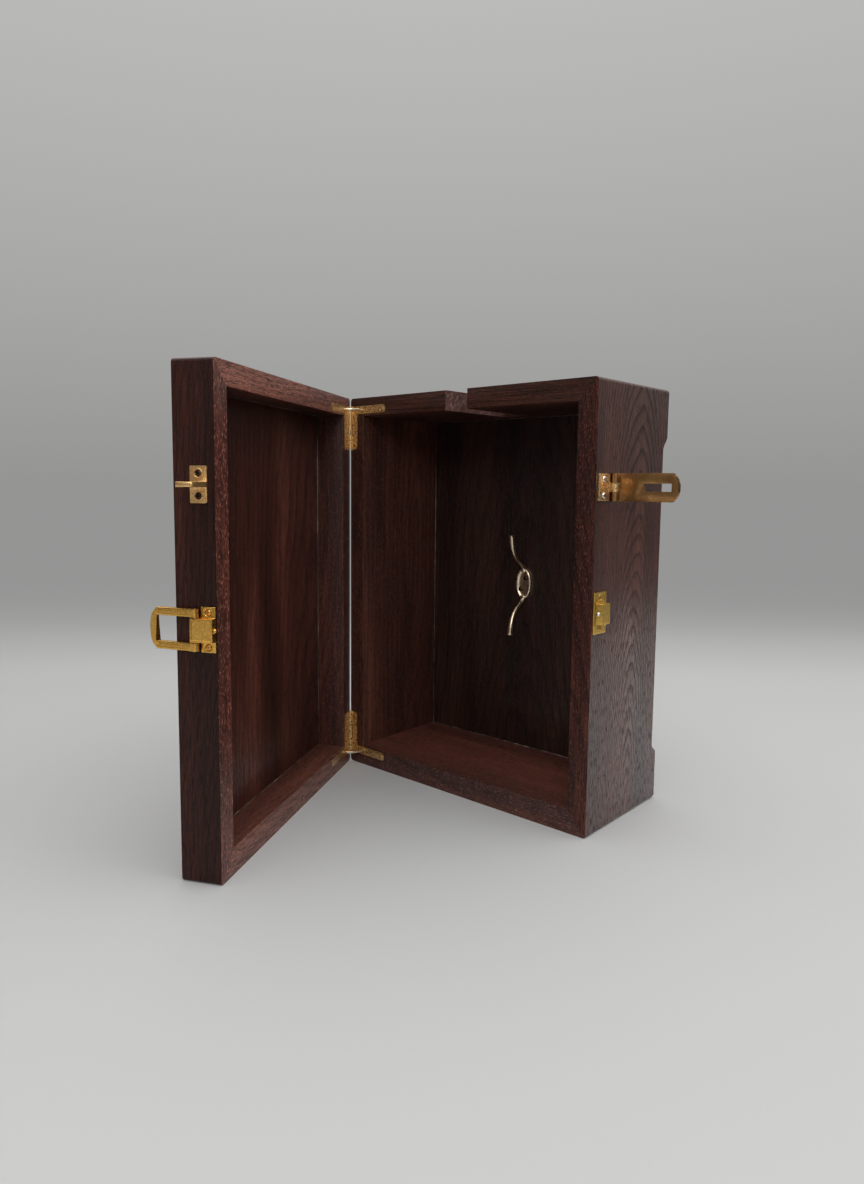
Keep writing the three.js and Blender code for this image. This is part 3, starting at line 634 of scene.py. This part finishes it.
for end in ("top", "bottom"):
    for leg in ("upright", "level"):
        fit_screw(f"hinge_{end}_case_screw_{leg}", "low", (0, -1, 0), 1.8, AGED, "aged_brass", "case")
        fit_screw(f"hinge_{end}_door_screw_{leg}", "low", (0, 1, 0), 1.8, AGED_DOOR, "aged_brass", "door",
                  True)
for level in ("upper", "lower"):
    fit_screw(f"hasp_screw_{level}", "domed", (1, 0, 0), 2.1, STEEL, "bright_steel", "case")
    fit_screw(f"staple_screw_{level}", "low", (1, 0, 0), 1.7, NEAR_BLACK, "aged_brass", "door", True)
    fit_screw(f"catch_screw_{level}", "low", (1, 0, 0), 1.6, YELLOW, "yellow_brass", "door", True)
    fit_screw(f"keeper_screw_{level}", "low", (1, 0, 0), 1.8, YELLOW_KEEPER_PAINTED_LIGHTER, "yellow_brass", "case")
    fit_screw(f"cleat_screw_{level}", "domed", (0, -1, 0), 1.8, NEAR_BLACK, "polished_brass", "case")
for form in list(SCREWS):
    bpy.data.objects.remove(SCREWS.pop(form))
placed = [obj for obj in bpy.data.objects if obj.name.endswith("_head")]
print("screws placed:", len(placed))

# %% [markdown]
# ## Quadrant hinges
# Each hinge has two L-shaped leaves let into the rims, a three-part barrel, a pin and a thin curved stay.
# The leaves are copies of the CAD leaves. The ends of their legs are rounded, as on stamped quadrant
# hinges, and every long edge is eased a little so that it catches a thin line of light.

# %% Hinge pieces
def upright_edge(edge, axis):
    line = edge.verts[1].co - edge.verts[0].co
    return line.length > 0.9 * MM and abs(line.normalized().dot(axis)) > 0.98


def leaf(node, door):
    piece = copy_of_node(node, node + "_plate")
    if door:
        turn(piece, SHUT)
    low = Vector([min(v.co[i] for v in piece.data.vertices) for i in range(3)])
    high = Vector([max(v.co[i] for v in piece.data.vertices) for i in range(3)])
    at_top = low.z > 0.15
    foot = low.z if at_top else high.z

    def end_corner(edge):
        if not (upright_edge(edge, Vector((0, 1, 0))) and sharp(edge, 60)):
            return False
        middle = (edge.verts[0].co + edge.verts[1].co) / 2
        at_foot = abs(middle.z - foot) < 0.1 * MM and to_drawing(middle).x > 1.2
        return at_foot or abs(middle.x - high.x) < 0.1 * MM

    ends = bevel_edges(piece, end_corner, 2.5, 6)
    eased = bevel_edges(piece, lambda e: sharp(e, 50) and e.calc_length() > 3 * MM, 0.18, 2)
    if door:
        turn(piece, OPEN)
    smooth(piece, 30)
    print(node, "corners rounded:", ends, "edges eased:", eased)
    return finish_piece(piece, "door" if door else "case", "aged_brass", AGED_DOOR if door else AGED, node)


for end in ("top", "bottom"):
    leaf(f"hinge_{end}_leaf_case", False)
    leaf(f"hinge_{end}_leaf_door", True)
    stay = copy_of_node(f"hinge_{end}_stay", f"hinge_{end}_stay_bar")
    bevel_edges(stay, lambda e: sharp(e, 50), 0.25, 2)
    smooth(stay, 30)
    finish_piece(stay, "hinge_stays", "aged_brass", POLISHED, f"hinge_{end}_stay")
    pin = copy_of_node(f"hinge_{end}_pin", f"hinge_{end}_pin_rod")
    bevel_edges(pin, lambda e: sharp(e, 60), 0.3, 3)
    smooth(pin, 40)
    pin_body = frame["nodes"][f"hinge_{end}_pin"]["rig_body"]
    finish_piece(pin, pin_body, "aged_brass", POLISHED, f"hinge_{end}_pin")

# %% [markdown]
# ## Hasp and staple
# The hasp's leaf is screwed to the side of the case, and its strap stands straight out on a pin. When the
# door is shut the strap folds over the staple, whose tab then stands through the slot for a padlock. The
# copies get rounded corners and eased edges, and a pressed ring is added round each screw of the staple.

# %% Hasp and staple pieces
def eased_copy(node, suffix, width, body, slot_name, material, degrees=50):
    """A copy of a node with its sharp edges eased."""
    piece = copy_of_node(node, node + suffix)
    count = bevel_edges(piece, lambda e: sharp(e, degrees) and e.calc_length() > 1.2 * MM, width)
    smooth(piece, 32)
    print(node, "edges eased:", count)
    return finish_piece(piece, body, slot_name, material, node)


eased_copy("hasp_leaf", "_plate", 0.22, "case", "aged_brass", AGED)
eased_copy("hasp_pin", "_rod", 0.25, "case", "aged_brass", POLISHED, degrees=60)

strap = copy_of_node("hasp_strap", "hasp_strap_bar")
strap_far = max(v.co.x for v in strap.data.vertices)
far_corner = bevel_edges(strap, lambda e: sharp(e, 12) and upright_edge(e, Vector((0, 1, 0)))
                         and min(v.co.x for v in e.verts) > strap_far - 5 * MM, 1.1, 3)
eased = bevel_edges(strap, lambda e: sharp(e, 55) and e.calc_length() > 0.7 * MM
                    and min(v.co.x for v in e.verts) > place(CASE_W + 5, 0, 0).x, 0.22, 2)
smooth(strap, 30)
finish_piece(strap, "hasp_strap", "aged_brass", STRAP_BROWN_AND_SHADE, "hasp_strap")
print("hasp strap corners:", far_corner, "edges:", eased)

staple = copy_of_node("staple", "staple_plate")
turn(staple, SHUT)
bevel_edges(staple, lambda e: sharp(e, 60) and upright_edge(e, Vector((1, 0, 0)))
            and abs((e.verts[0].co.z + e.verts[1].co.z) / 2 - HASP_Z * MM) > 9 * MM, 0.9, 4)
tab_end = place(CASE_W + 17, 0, 0).x
bevel_edges(staple, lambda e: sharp(e, 60) and min(v.co.x for v in e.verts) > tab_end - 0.1 * MM, 1.1, 3)
bevel_edges(staple, lambda e: sharp(e, 60) and e.calc_length() > 2 * MM, 0.16, 2)
for lift in (6.2, -6.2):
    bpy.ops.object.select_all(action="DESELECT")
    ring_spot = place(CASE_W + 1.42, -RIM_GAP - 9.4, HASP_Z + lift)
    bpy.ops.mesh.primitive_torus_add(major_radius=2.45 * MM, minor_radius=0.42 * MM, major_segments=40,
                                     minor_segments=10, location=ring_spot, rotation=(0, math.radians(90), 0))
    bpy.ops.object.transform_apply(location=True, rotation=True, scale=True)
    staple.select_set(True)
    bpy.context.view_layer.objects.active = staple
    bpy.ops.object.join()
turn(staple, OPEN)
smooth(staple, 35)
finish_piece(staple, "door", "aged_brass", STAPLE, "staple")
print("staple faces:", len(staple.data.polygons))

# %% [markdown]
# ## Catch and keeper
# The catch is a yellow brass box with two ears. A loop swings on a pin through the box, and when the door is
# shut the loop is pushed over the keeper's block, where a small steel ball holds it. The box's outer face is
# set in a little, and a small round nub is joined to the box.

# %% The catch's box
catch = copy_of_node("catch_base", "catch_box")
turn(catch, SHUT)
bevel_edges(catch, lambda e: sharp(e, 60) and e.calc_length() > 1.0 * MM, 0.35, 3)
face_x = place(CASE_W + 5.2, 0, 0).x
count = select_faces(catch, lambda f: f.normal.x > 0.99 and abs(f.calc_center_median().x - face_x) < 0.05 * MM
                     and f.calc_area() > 20 * MM * MM)
if count:
    bpy.ops.mesh.inset(thickness=0.8 * MM, depth=0)
    bpy.ops.mesh.inset(thickness=0.25 * MM, depth=-0.22 * MM)
done(catch)
nub_spot = place(CASE_W + 3, -RIM_GAP - 0.1, CATCH_Z)
bpy.ops.object.select_all(action="DESELECT")
bpy.ops.mesh.primitive_uv_sphere_add(segments=20, ring_count=12, radius=1.25 * MM, location=nub_spot)
nub = bpy.context.object
bpy.ops.object.transform_apply(location=True, rotation=True, scale=True)
select_faces(nub, lambda f: f.calc_center_median().y < nub_spot.y - 0.9 * MM)
bpy.ops.mesh.extrude_region_move(TRANSFORM_OT_translate={"value": (0, -0.5 * MM, 0)})
done(nub)
catch.select_set(True)
bpy.context.view_layer.objects.active = catch
bpy.ops.object.join()
turn(catch, OPEN)
smooth(catch, 32)
finish_piece(catch, "door", "yellow_brass", YELLOW, "catch_base")
print("catch box inset faces:", count)

# %% [markdown]
# ## The loop
# The loop stands at a slant, which makes faces hard to pick, so it is first turned to lie along the axes.
# Bisect cuts lines along its arms and across their ends, and the faces between the lines are pushed in to
# make two grooves on each arm.

# %% The catch's loop
LOOP_LEAN = math.radians(5.5)
LOOP_AXIS = place(CASE_W + 3.2, -RIM_GAP - 12, CATCH_Z)
LOOP_AT_REST = (OPEN @ Matrix.Translation(LOOP_AXIS)
                @ Matrix.Rotation(-math.radians(90) - LOOP_LEAN, 4, "Z"))
loop = copy_of_node("catch_loop", "catch_loop_bar")
turn(loop, LOOP_AT_REST.inverted())
GROOVES = ((8.5, 9.15), (10.15, 10.8))
GROOVE_START, GROOVE_END = 3.2, 23.6
for height in GROOVES[0] + GROOVES[1]:
    for side in (1, -1):
        edit(loop)
        bpy.ops.mesh.select_all(action="SELECT")
        bpy.ops.mesh.bisect(plane_co=(0, 0, side * height * MM), plane_no=(0, 0, 1))
        done(loop)
for cut in (GROOVE_START, GROOVE_END):
    edit(loop)
    bpy.ops.mesh.select_all(action="SELECT")
    bpy.ops.mesh.bisect(plane_co=(cut * MM, 0, 0), plane_no=(1, 0, 0))
    done(loop)


def in_groove(face):
    spot = face.calc_center_median() / MM
    band = any(low < abs(spot.z) < high for low, high in GROOVES)
    return abs(face.normal.y) > 0.95 and band and GROOVE_START < spot.x < GROOVE_END


grooves = 0
for way in (1, -1):
    grooves += select_faces(loop, lambda f: in_groove(f) and f.normal.y * way > 0)
    bpy.ops.mesh.extrude_region_move(TRANSFORM_OT_translate={"value": (0, -way * 0.38 * MM, 0)})
    done(loop)
outer = bevel_edges(loop, lambda e: sharp(e, 50) and e.calc_length() > 2 * MM
                    and min(abs(abs(v.co.y) - 1.5 * MM) for v in e.verts) < 0.02 * MM
                    and not 8.4 < abs(e.verts[0].co.z / MM) < 10.9, 0.5, 3)
turn(loop, LOOP_AT_REST)
smooth(loop, 35)
finish_piece(loop, "catch_loop", "yellow_brass", YELLOW, "catch_loop")
print("loop grooves:", grooves, "edges rounded:", outer)

eased_copy("catch_loop_pin", "_rod", 0.25, "door", "yellow_brass", YELLOW, degrees=60)

# %% [markdown]
# ## The keeper
# The keeper's block has an inset face like the catch's box. Its ball is a sphere, flattened on the far side.

# %% The keeper and its ball
keeper = copy_of_node("keeper", "keeper_plate")
bevel_edges(keeper, lambda e: sharp(e, 60) and e.calc_length() > 1.2 * MM, 0.30, 3)
count = select_faces(keeper, lambda f: f.normal.x > 0.99 and f.calc_area() > 50 * MM * MM)
if count:
    bpy.ops.mesh.inset(thickness=0.6 * MM, depth=0)
    bpy.ops.mesh.inset(thickness=0.2 * MM, depth=-0.15 * MM)
done(keeper)
smooth(keeper, 32)
finish_piece(keeper, "case", "yellow_brass", YELLOW_KEEPER_PAINTED_LIGHTER, "keeper")

ball_low, ball_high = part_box("keeper_ball")
ball_spot = (ball_low + ball_high) / 2
bpy.ops.object.select_all(action="DESELECT")
bpy.ops.mesh.primitive_uv_sphere_add(segments=28, ring_count=16, radius=1.6 * MM, location=ball_spot)
ball = bpy.context.object
ball.name = "keeper_ball_steel"
bpy.ops.object.transform_apply(location=True, rotation=True, scale=True)
select_faces(ball, lambda f: f.calc_center_median().y > ball_spot.y + 1.2 * MM)
bpy.ops.transform.resize(value=(1, 0.4, 1), center_override=ball_spot)
done(ball)
smooth(ball, 60)
finish_piece(ball, "case", "bright_steel", STEEL, "keeper_ball")
print("keeper inset faces:", count)

# %% [markdown]
# ## Cleat
# The cord is wound round a small cast cleat on the back panel. Its base is a dished oval made from a
# cylinder by insets. Each horn is a curve through points, thickened by a radius at each point and made a
# mesh, because a curve keeps the sweep of the casting smooth. A flared cap ends each horn. The parts are
# joined by a Boolean union into one casting.

# %% Cleat pieces
CLEAT = place(111.3, BACK_FACE_Y, 152.3)
CLEAT_STAND = Matrix.Translation(CLEAT) @ Matrix.Rotation(math.radians(90), 4, "X")
bpy.ops.object.select_all(action="DESELECT")
bpy.ops.mesh.primitive_cylinder_add(vertices=56, radius=0.5, depth=2.5 * MM, location=(0, 0, 1.25 * MM),
                                    scale=(14.6 * MM, 25.4 * MM, 1))
cleat = bpy.context.object
cleat.name = "cleat_cast"
bpy.ops.object.transform_apply(location=True, rotation=True, scale=True)
for inset, rise in ((0.55, 0.62), (0.6, 0.1), (0.7, -0.85), (1.3, -0.55), (1.6, -0.1)):
    select_faces(cleat, lambda f: f.normal.z > 0.99 and len(f.verts) > 20)
    bpy.ops.mesh.inset(thickness=inset * MM, depth=rise * MM)
    done(cleat)

HORN = [(10.6, 1.9, 2.3), (13.2, 3.1, 1.7), (16.0, 6.8, 1.30), (20.4, 12.6, 1.25), (27.5, 17.6, 1.5),
        (34.0, 19.6, 1.75), (39.2, 20.2, 1.85)]


def horn(way):
    """One horn as a curve made a mesh, reaching along y and rising along z."""
    bpy.ops.object.select_all(action="DESELECT")
    bpy.ops.curve.primitive_bezier_curve_add(location=(0, 0, 0))
    made = bpy.context.object
    curve = made.data
    curve.dimensions = "3D"
    curve.resolution_u = 10
    curve.bevel_depth = 1 * MM
    curve.bevel_resolution = 4
    curve.use_fill_caps = True
    points = curve.splines[0].bezier_points
    points.add(len(HORN) - len(points))
    for point, (reach, out, radius) in zip(points, HORN):
        point.co = (0, way * reach * MM, out * MM)
        point.handle_left_type = "AUTO"
        point.handle_right_type = "AUTO"
        point.radius = radius
    bpy.ops.object.convert(target="MESH")
    made = bpy.context.object
    made.data.transform(Matrix.Scale(1.22, 4, (1, 0, 0)))
    tidy_mesh(made)
    bpy.ops.object.select_all(action="DESELECT")
    bpy.ops.mesh.primitive_cylinder_add(vertices=28, radius=2.0 * MM, depth=0.7 * MM,
                                        location=(0, way * 38.9 * MM, 20.2 * MM),
                                        rotation=(math.radians(90), 0, 0))
    cap = bpy.context.object
    bpy.ops.object.transform_apply(location=True, rotation=True, scale=True)
    select_faces(cap, lambda f: f.normal.y * way > 0.9)
    bpy.ops.mesh.extrude_region_move(TRANSFORM_OT_translate={"value": (0, way * 0.4 * MM, 0)})
    bpy.ops.transform.resize(value=(1.32, 1, 1.32), center_override=(0, way * 39.6 * MM, 20.2 * MM))
    bpy.ops.mesh.extrude_region_move(TRANSFORM_OT_translate={"value": (0, way * 0.3 * MM, 0)})
    bpy.ops.transform.resize(value=(0.8, 1, 0.8), center_override=(0, way * 39.9 * MM, 20.2 * MM))
    done(cap)
    tidy_mesh(cap)
    return made, cap


def union(base, other):
    alone(base)
    join = base.modifiers.new("join", "BOOLEAN")
    join.operation = "UNION"
    join.object = other
    bpy.ops.object.modifier_apply(modifier="join")
    bpy.data.objects.remove(other)


for way in (1, -1):
    horn_mesh, cap_mesh = horn(way)
    union(horn_mesh, cap_mesh)
    union(cleat, horn_mesh)
turn(cleat, CLEAT_STAND)
tidy_mesh(cleat)
smooth(cleat, 42)
finish_piece(cleat, "case", "polished_brass", POLISHED, "cleat")
print("cleat faces:", len(cleat.data.polygons))

# %% [markdown]
# ## Pale lines in the corners
# Where the boards meet inside, a thin pale line runs along each corner.
# Each line is a slim rod laid in its corner, flattened towards the two boards and broken up by its colour.

# %% Corner beads
def bead_material():
    r = Recipe("pale_corner_bead")
    patch = r.noise(r.mapped(r.coords, scale=(220, 220, 90)), 1.0, 4.0, 0.65)
    body = r.ramp(patch, (0.38, (0.035, 0.017, 0.013)), (0.56, (0.11, 0.072, 0.055)),
                  (0.74, (0.30, 0.235, 0.20)))
    r.use("Base Color", body)
    r.use("Roughness", 0.34)
    r.bump(patch, 0.6, 0.15)
    return r.material


BEAD = bead_material()


def bead(name, lines, radius, body, door=False):
    """Slim rods along the given lines of the drawing, made one piece."""
    made = []
    for start, end in lines:
        a, b = place(*start), place(*end)
        bpy.ops.object.select_all(action="DESELECT")
        bpy.ops.mesh.primitive_cylinder_add(vertices=8, radius=radius * MM, depth=(b - a).length)
        rod = bpy.context.object
        select_faces(rod, lambda f: abs(f.normal.z) > 0.9)
        bpy.ops.mesh.inset(thickness=radius * 0.4 * MM, depth=radius * 0.3 * MM)
        done(rod)
        turn(rod, Matrix.Translation((a + b) / 2) @ (b - a).to_track_quat("Z", "Y").to_matrix().to_4x4())
        made.append(rod)
    bpy.ops.object.select_all(action="DESELECT")
    for rod in made:
        rod.select_set(True)
    bpy.context.view_layer.objects.active = made[0]
    bpy.ops.object.join()
    piece = bpy.context.object
    piece.name = name
    if door:
        turn(piece, OPEN)
    smooth(piece, 60)
    return finish_piece(piece, body, "dark_panel", BEAD)


IN_L, IN_R = SIDE_T, CASE_W - SIDE_T
IN_B, IN_T = BOTTOM_T, CASE_H - SIDE_T
DOOR_L, DOOR_R = SIDE_T + 1, CASE_W - SIDE_T - 1
PANEL_Y = -RIM_GAP - 22


def corner_lines(left, right, deep):
    """The four inside corners where a panel meets its boards."""
    corners = [(left, IN_B, left, IN_T), (right, IN_B, right, IN_T), (left, IN_B, right, IN_B),
               (left, IN_T, right, IN_T)]
    return [((x0, deep, z0), (x1, deep, z1)) for x0, z0, x1, z1 in corners]


bead("bead_case", corner_lines(IN_L, IN_R, BACK_FACE_Y), 0.42, "case")
bead("bead_door", corner_lines(DOOR_L, DOOR_R, PANEL_Y), 0.5, "door", True)
print("beads made")

# %% [markdown]
# ## Floor
# The floor is pale paint that glows a little far away, so that it melts into the backdrop with no hard
# horizon. Far to the camera's right, out of its view, the floor is dark. The lacquer of the case's side
# mirrors that part, and mirrors the pale floor only near its foot. From other views the dark part shows.

# %% Floor
CAMERA_YAW = math.radians(-42.283)
CAMERA_PITCH = math.radians(-5.839)
CAMERA_ROLL = math.radians(0.443)
CAMERA_SPOT = Vector((0.369656, -0.504742, 0.232153))
CAMERA_DISTANCE = 0.622


def studio_floor():
    """Pale near the object, and greyer where the sweep begins to rise behind it."""
    r = Recipe("floor_paint")
    ahead = r.mapped(r.coords, rotation=(0, 0, CAMERA_YAW))
    far = r.node("ShaderNodeSeparateXYZ", {"Vector": ahead}).outputs["Y"]
    cloud = r.noise(r.mapped(r.coords, scale=(1.3, 1.3, 1.3)), 1.0, 2.0, 0.5)
    far = r.math("ADD", far, r.math("MULTIPLY", cloud, 0.10))
    r.use("Roughness", 0.62)
    sweep = r.tree.nodes.new("ShaderNodeEmission")
    sweep.inputs["Color"].default_value = (0.30, 0.30, 0.298, 1)
    across = r.node("ShaderNodeSeparateXYZ", {"Vector": ahead}).outputs["X"]
    across = r.math("DIVIDE", across, r.math("MAXIMUM", r.math("ADD", far, CAMERA_DISTANCE), 0.1))
    in_front = r.ramp(r.math("MULTIPLY", across, 0.5), (0.42, 1.0), (0.58, 0.0))
    rise = r.ramp(r.math("MULTIPLY", far, 0.5), (0.20, 0.0), (0.30, 0.30), (0.38, 0.62), (0.50, 0.88),
                  (0.70, 1.0))
    rise = r.math("MULTIPLY", rise, in_front)
    r.use("Base Color", r.mix(in_front, (0.05, 0.05, 0.05), (0.48, 0.48, 0.48)))
    blend = r.node("ShaderNodeMixShader", {0: rise, 1: r.shader.outputs["BSDF"], 2: sweep.outputs[0]})
    r.tree.links.new(blend.outputs[0], r.out.inputs["Surface"])
    return r.material


bpy.ops.object.select_all(action="DESELECT")
bpy.ops.mesh.primitive_plane_add(size=30, location=(0, 0, 0))
floor = bpy.context.object
floor.name = "floor"
floor.data.materials.append(studio_floor())


# %% [markdown]
# ## Backdrop
# The world is a grey gradient by height, and the camera sees it as it is. Reflections and soft light see it
# dimmed, except ahead of the camera, as if a grey sweep hung there in a dim room.

# %% Backdrop
def studio_world():
    """A grey sweep, lighter overhead. Reflections and soft light see a dim room beside it."""
    world = bpy.data.worlds.new("studio")
    bpy.context.scene.world = world
    world.use_nodes = True
    tree = world.node_tree
    links = tree.links

    def ramp(source, stops):
        made = tree.nodes.new("ShaderNodeValToRGB")
        links.new(source, made.inputs[0])
        while len(made.color_ramp.elements) < len(stops):
            made.color_ramp.elements.new(0.5)
        for element, (position, grey) in zip(made.color_ramp.elements, stops):
            element.position = position
            element.color = (grey, grey, grey * 0.985, 1)
        return made.outputs["Color"]

    look = tree.nodes.new("ShaderNodeTexCoord").outputs["Generated"]
    split = tree.nodes.new("ShaderNodeSeparateXYZ")
    links.new(look, split.inputs[0])
    sweep = ramp(split.outputs["Z"], ((0.0, 0.30), (0.20, 0.385), (0.34, 0.44), (0.50, 0.50), (1.0, 0.62)))
    facing = tree.nodes.new("ShaderNodeVectorMath")
    facing.operation = "DOT_PRODUCT"
    links.new(look, facing.inputs[0])
    facing.inputs[1].default_value = (math.sin(CAMERA_YAW), math.cos(CAMERA_YAW), 0)
    on_sweep = ramp(facing.outputs["Value"], ((0.45, 0.46), (0.72, 1.0)))
    dimmed = tree.nodes.new("ShaderNodeMix")
    dimmed.data_type = "RGBA"
    dimmed.blend_type = "MULTIPLY"
    dimmed.inputs[0].default_value = 1.0
    links.new(sweep, dimmed.inputs[6])
    links.new(on_sweep, dimmed.inputs[7])
    seen = tree.nodes.new("ShaderNodeMix")
    seen.data_type = "RGBA"
    links.new(tree.nodes.new("ShaderNodeLightPath").outputs["Is Camera Ray"], seen.inputs[0])
    links.new(dimmed.outputs[2], seen.inputs[6])
    links.new(sweep, seen.inputs[7])
    links.new(seen.outputs[2], tree.nodes["Background"].inputs["Color"])


studio_world()


# %% [markdown]
# ## Lamps
# A wide lamp overhead gives most of the light. A weaker one behind on the right faces the door's inner rims,
# and a small one in front on the right is aimed into the opening, towards the hinges.

# %% Lamps
def soft_lamp(name, spot, target, size, power):
    data = bpy.data.lights.new(name, "AREA")
    data.shape = "RECTANGLE"
    data.size, data.size_y = size
    data.energy = power
    lamp = bpy.data.objects.new(name, data)
    bpy.context.scene.collection.objects.link(lamp)
    lamp.location = spot
    lamp.rotation_mode = "QUATERNION"
    lamp.rotation_quaternion = (Vector(target) - Vector(spot)).to_track_quat("-Z", "Y")
    return lamp


soft_lamp("lamp_overhead", (0.15, -0.15, 1.8), (0.0, -0.05, 0.0), (2.4, 2.4), 36)
soft_lamp("lamp_back_right", (1.0, 0.6, 1.3), (0.0, 0.0, 0.1), (1.2, 1.2), 6)
soft_lamp("lamp_front", (0.85, -1.2, 0.9), (-0.1, -0.05, 0.15), (0.5, 0.5), 6)

# %% [markdown]
# ## Camera
# The camera stands in front on the right, above the middle of the case, and looks slightly down.

# %% Camera
def camera():
    data = bpy.data.cameras.new("camera")
    obj = bpy.data.objects.new("camera", data)
    bpy.context.scene.collection.objects.link(obj)
    cp = math.cos(CAMERA_PITCH)
    ahead = Vector((math.sin(CAMERA_YAW) * cp, math.cos(CAMERA_YAW) * cp, math.sin(CAMERA_PITCH)))
    right = Vector((math.cos(CAMERA_YAW), -math.sin(CAMERA_YAW), 0))
    up = right.cross(ahead)
    rolled_right = math.cos(CAMERA_ROLL) * right + math.sin(CAMERA_ROLL) * up
    rolled_up = math.cos(CAMERA_ROLL) * up - math.sin(CAMERA_ROLL) * right
    turned = Matrix((rolled_right, rolled_up, -ahead)).transposed().to_4x4()
    obj.matrix_world = Matrix.Translation(CAMERA_SPOT) @ turned
    data.sensor_width = 36
    data.lens = 24.497
    data.shift_x = 0.01695
    data.shift_y = -0.02169
    data.clip_start = 0.02
    data.clip_end = 60
    bpy.context.scene.camera = obj


camera()
bpy.context.scene.view_settings.view_transform = "Standard"
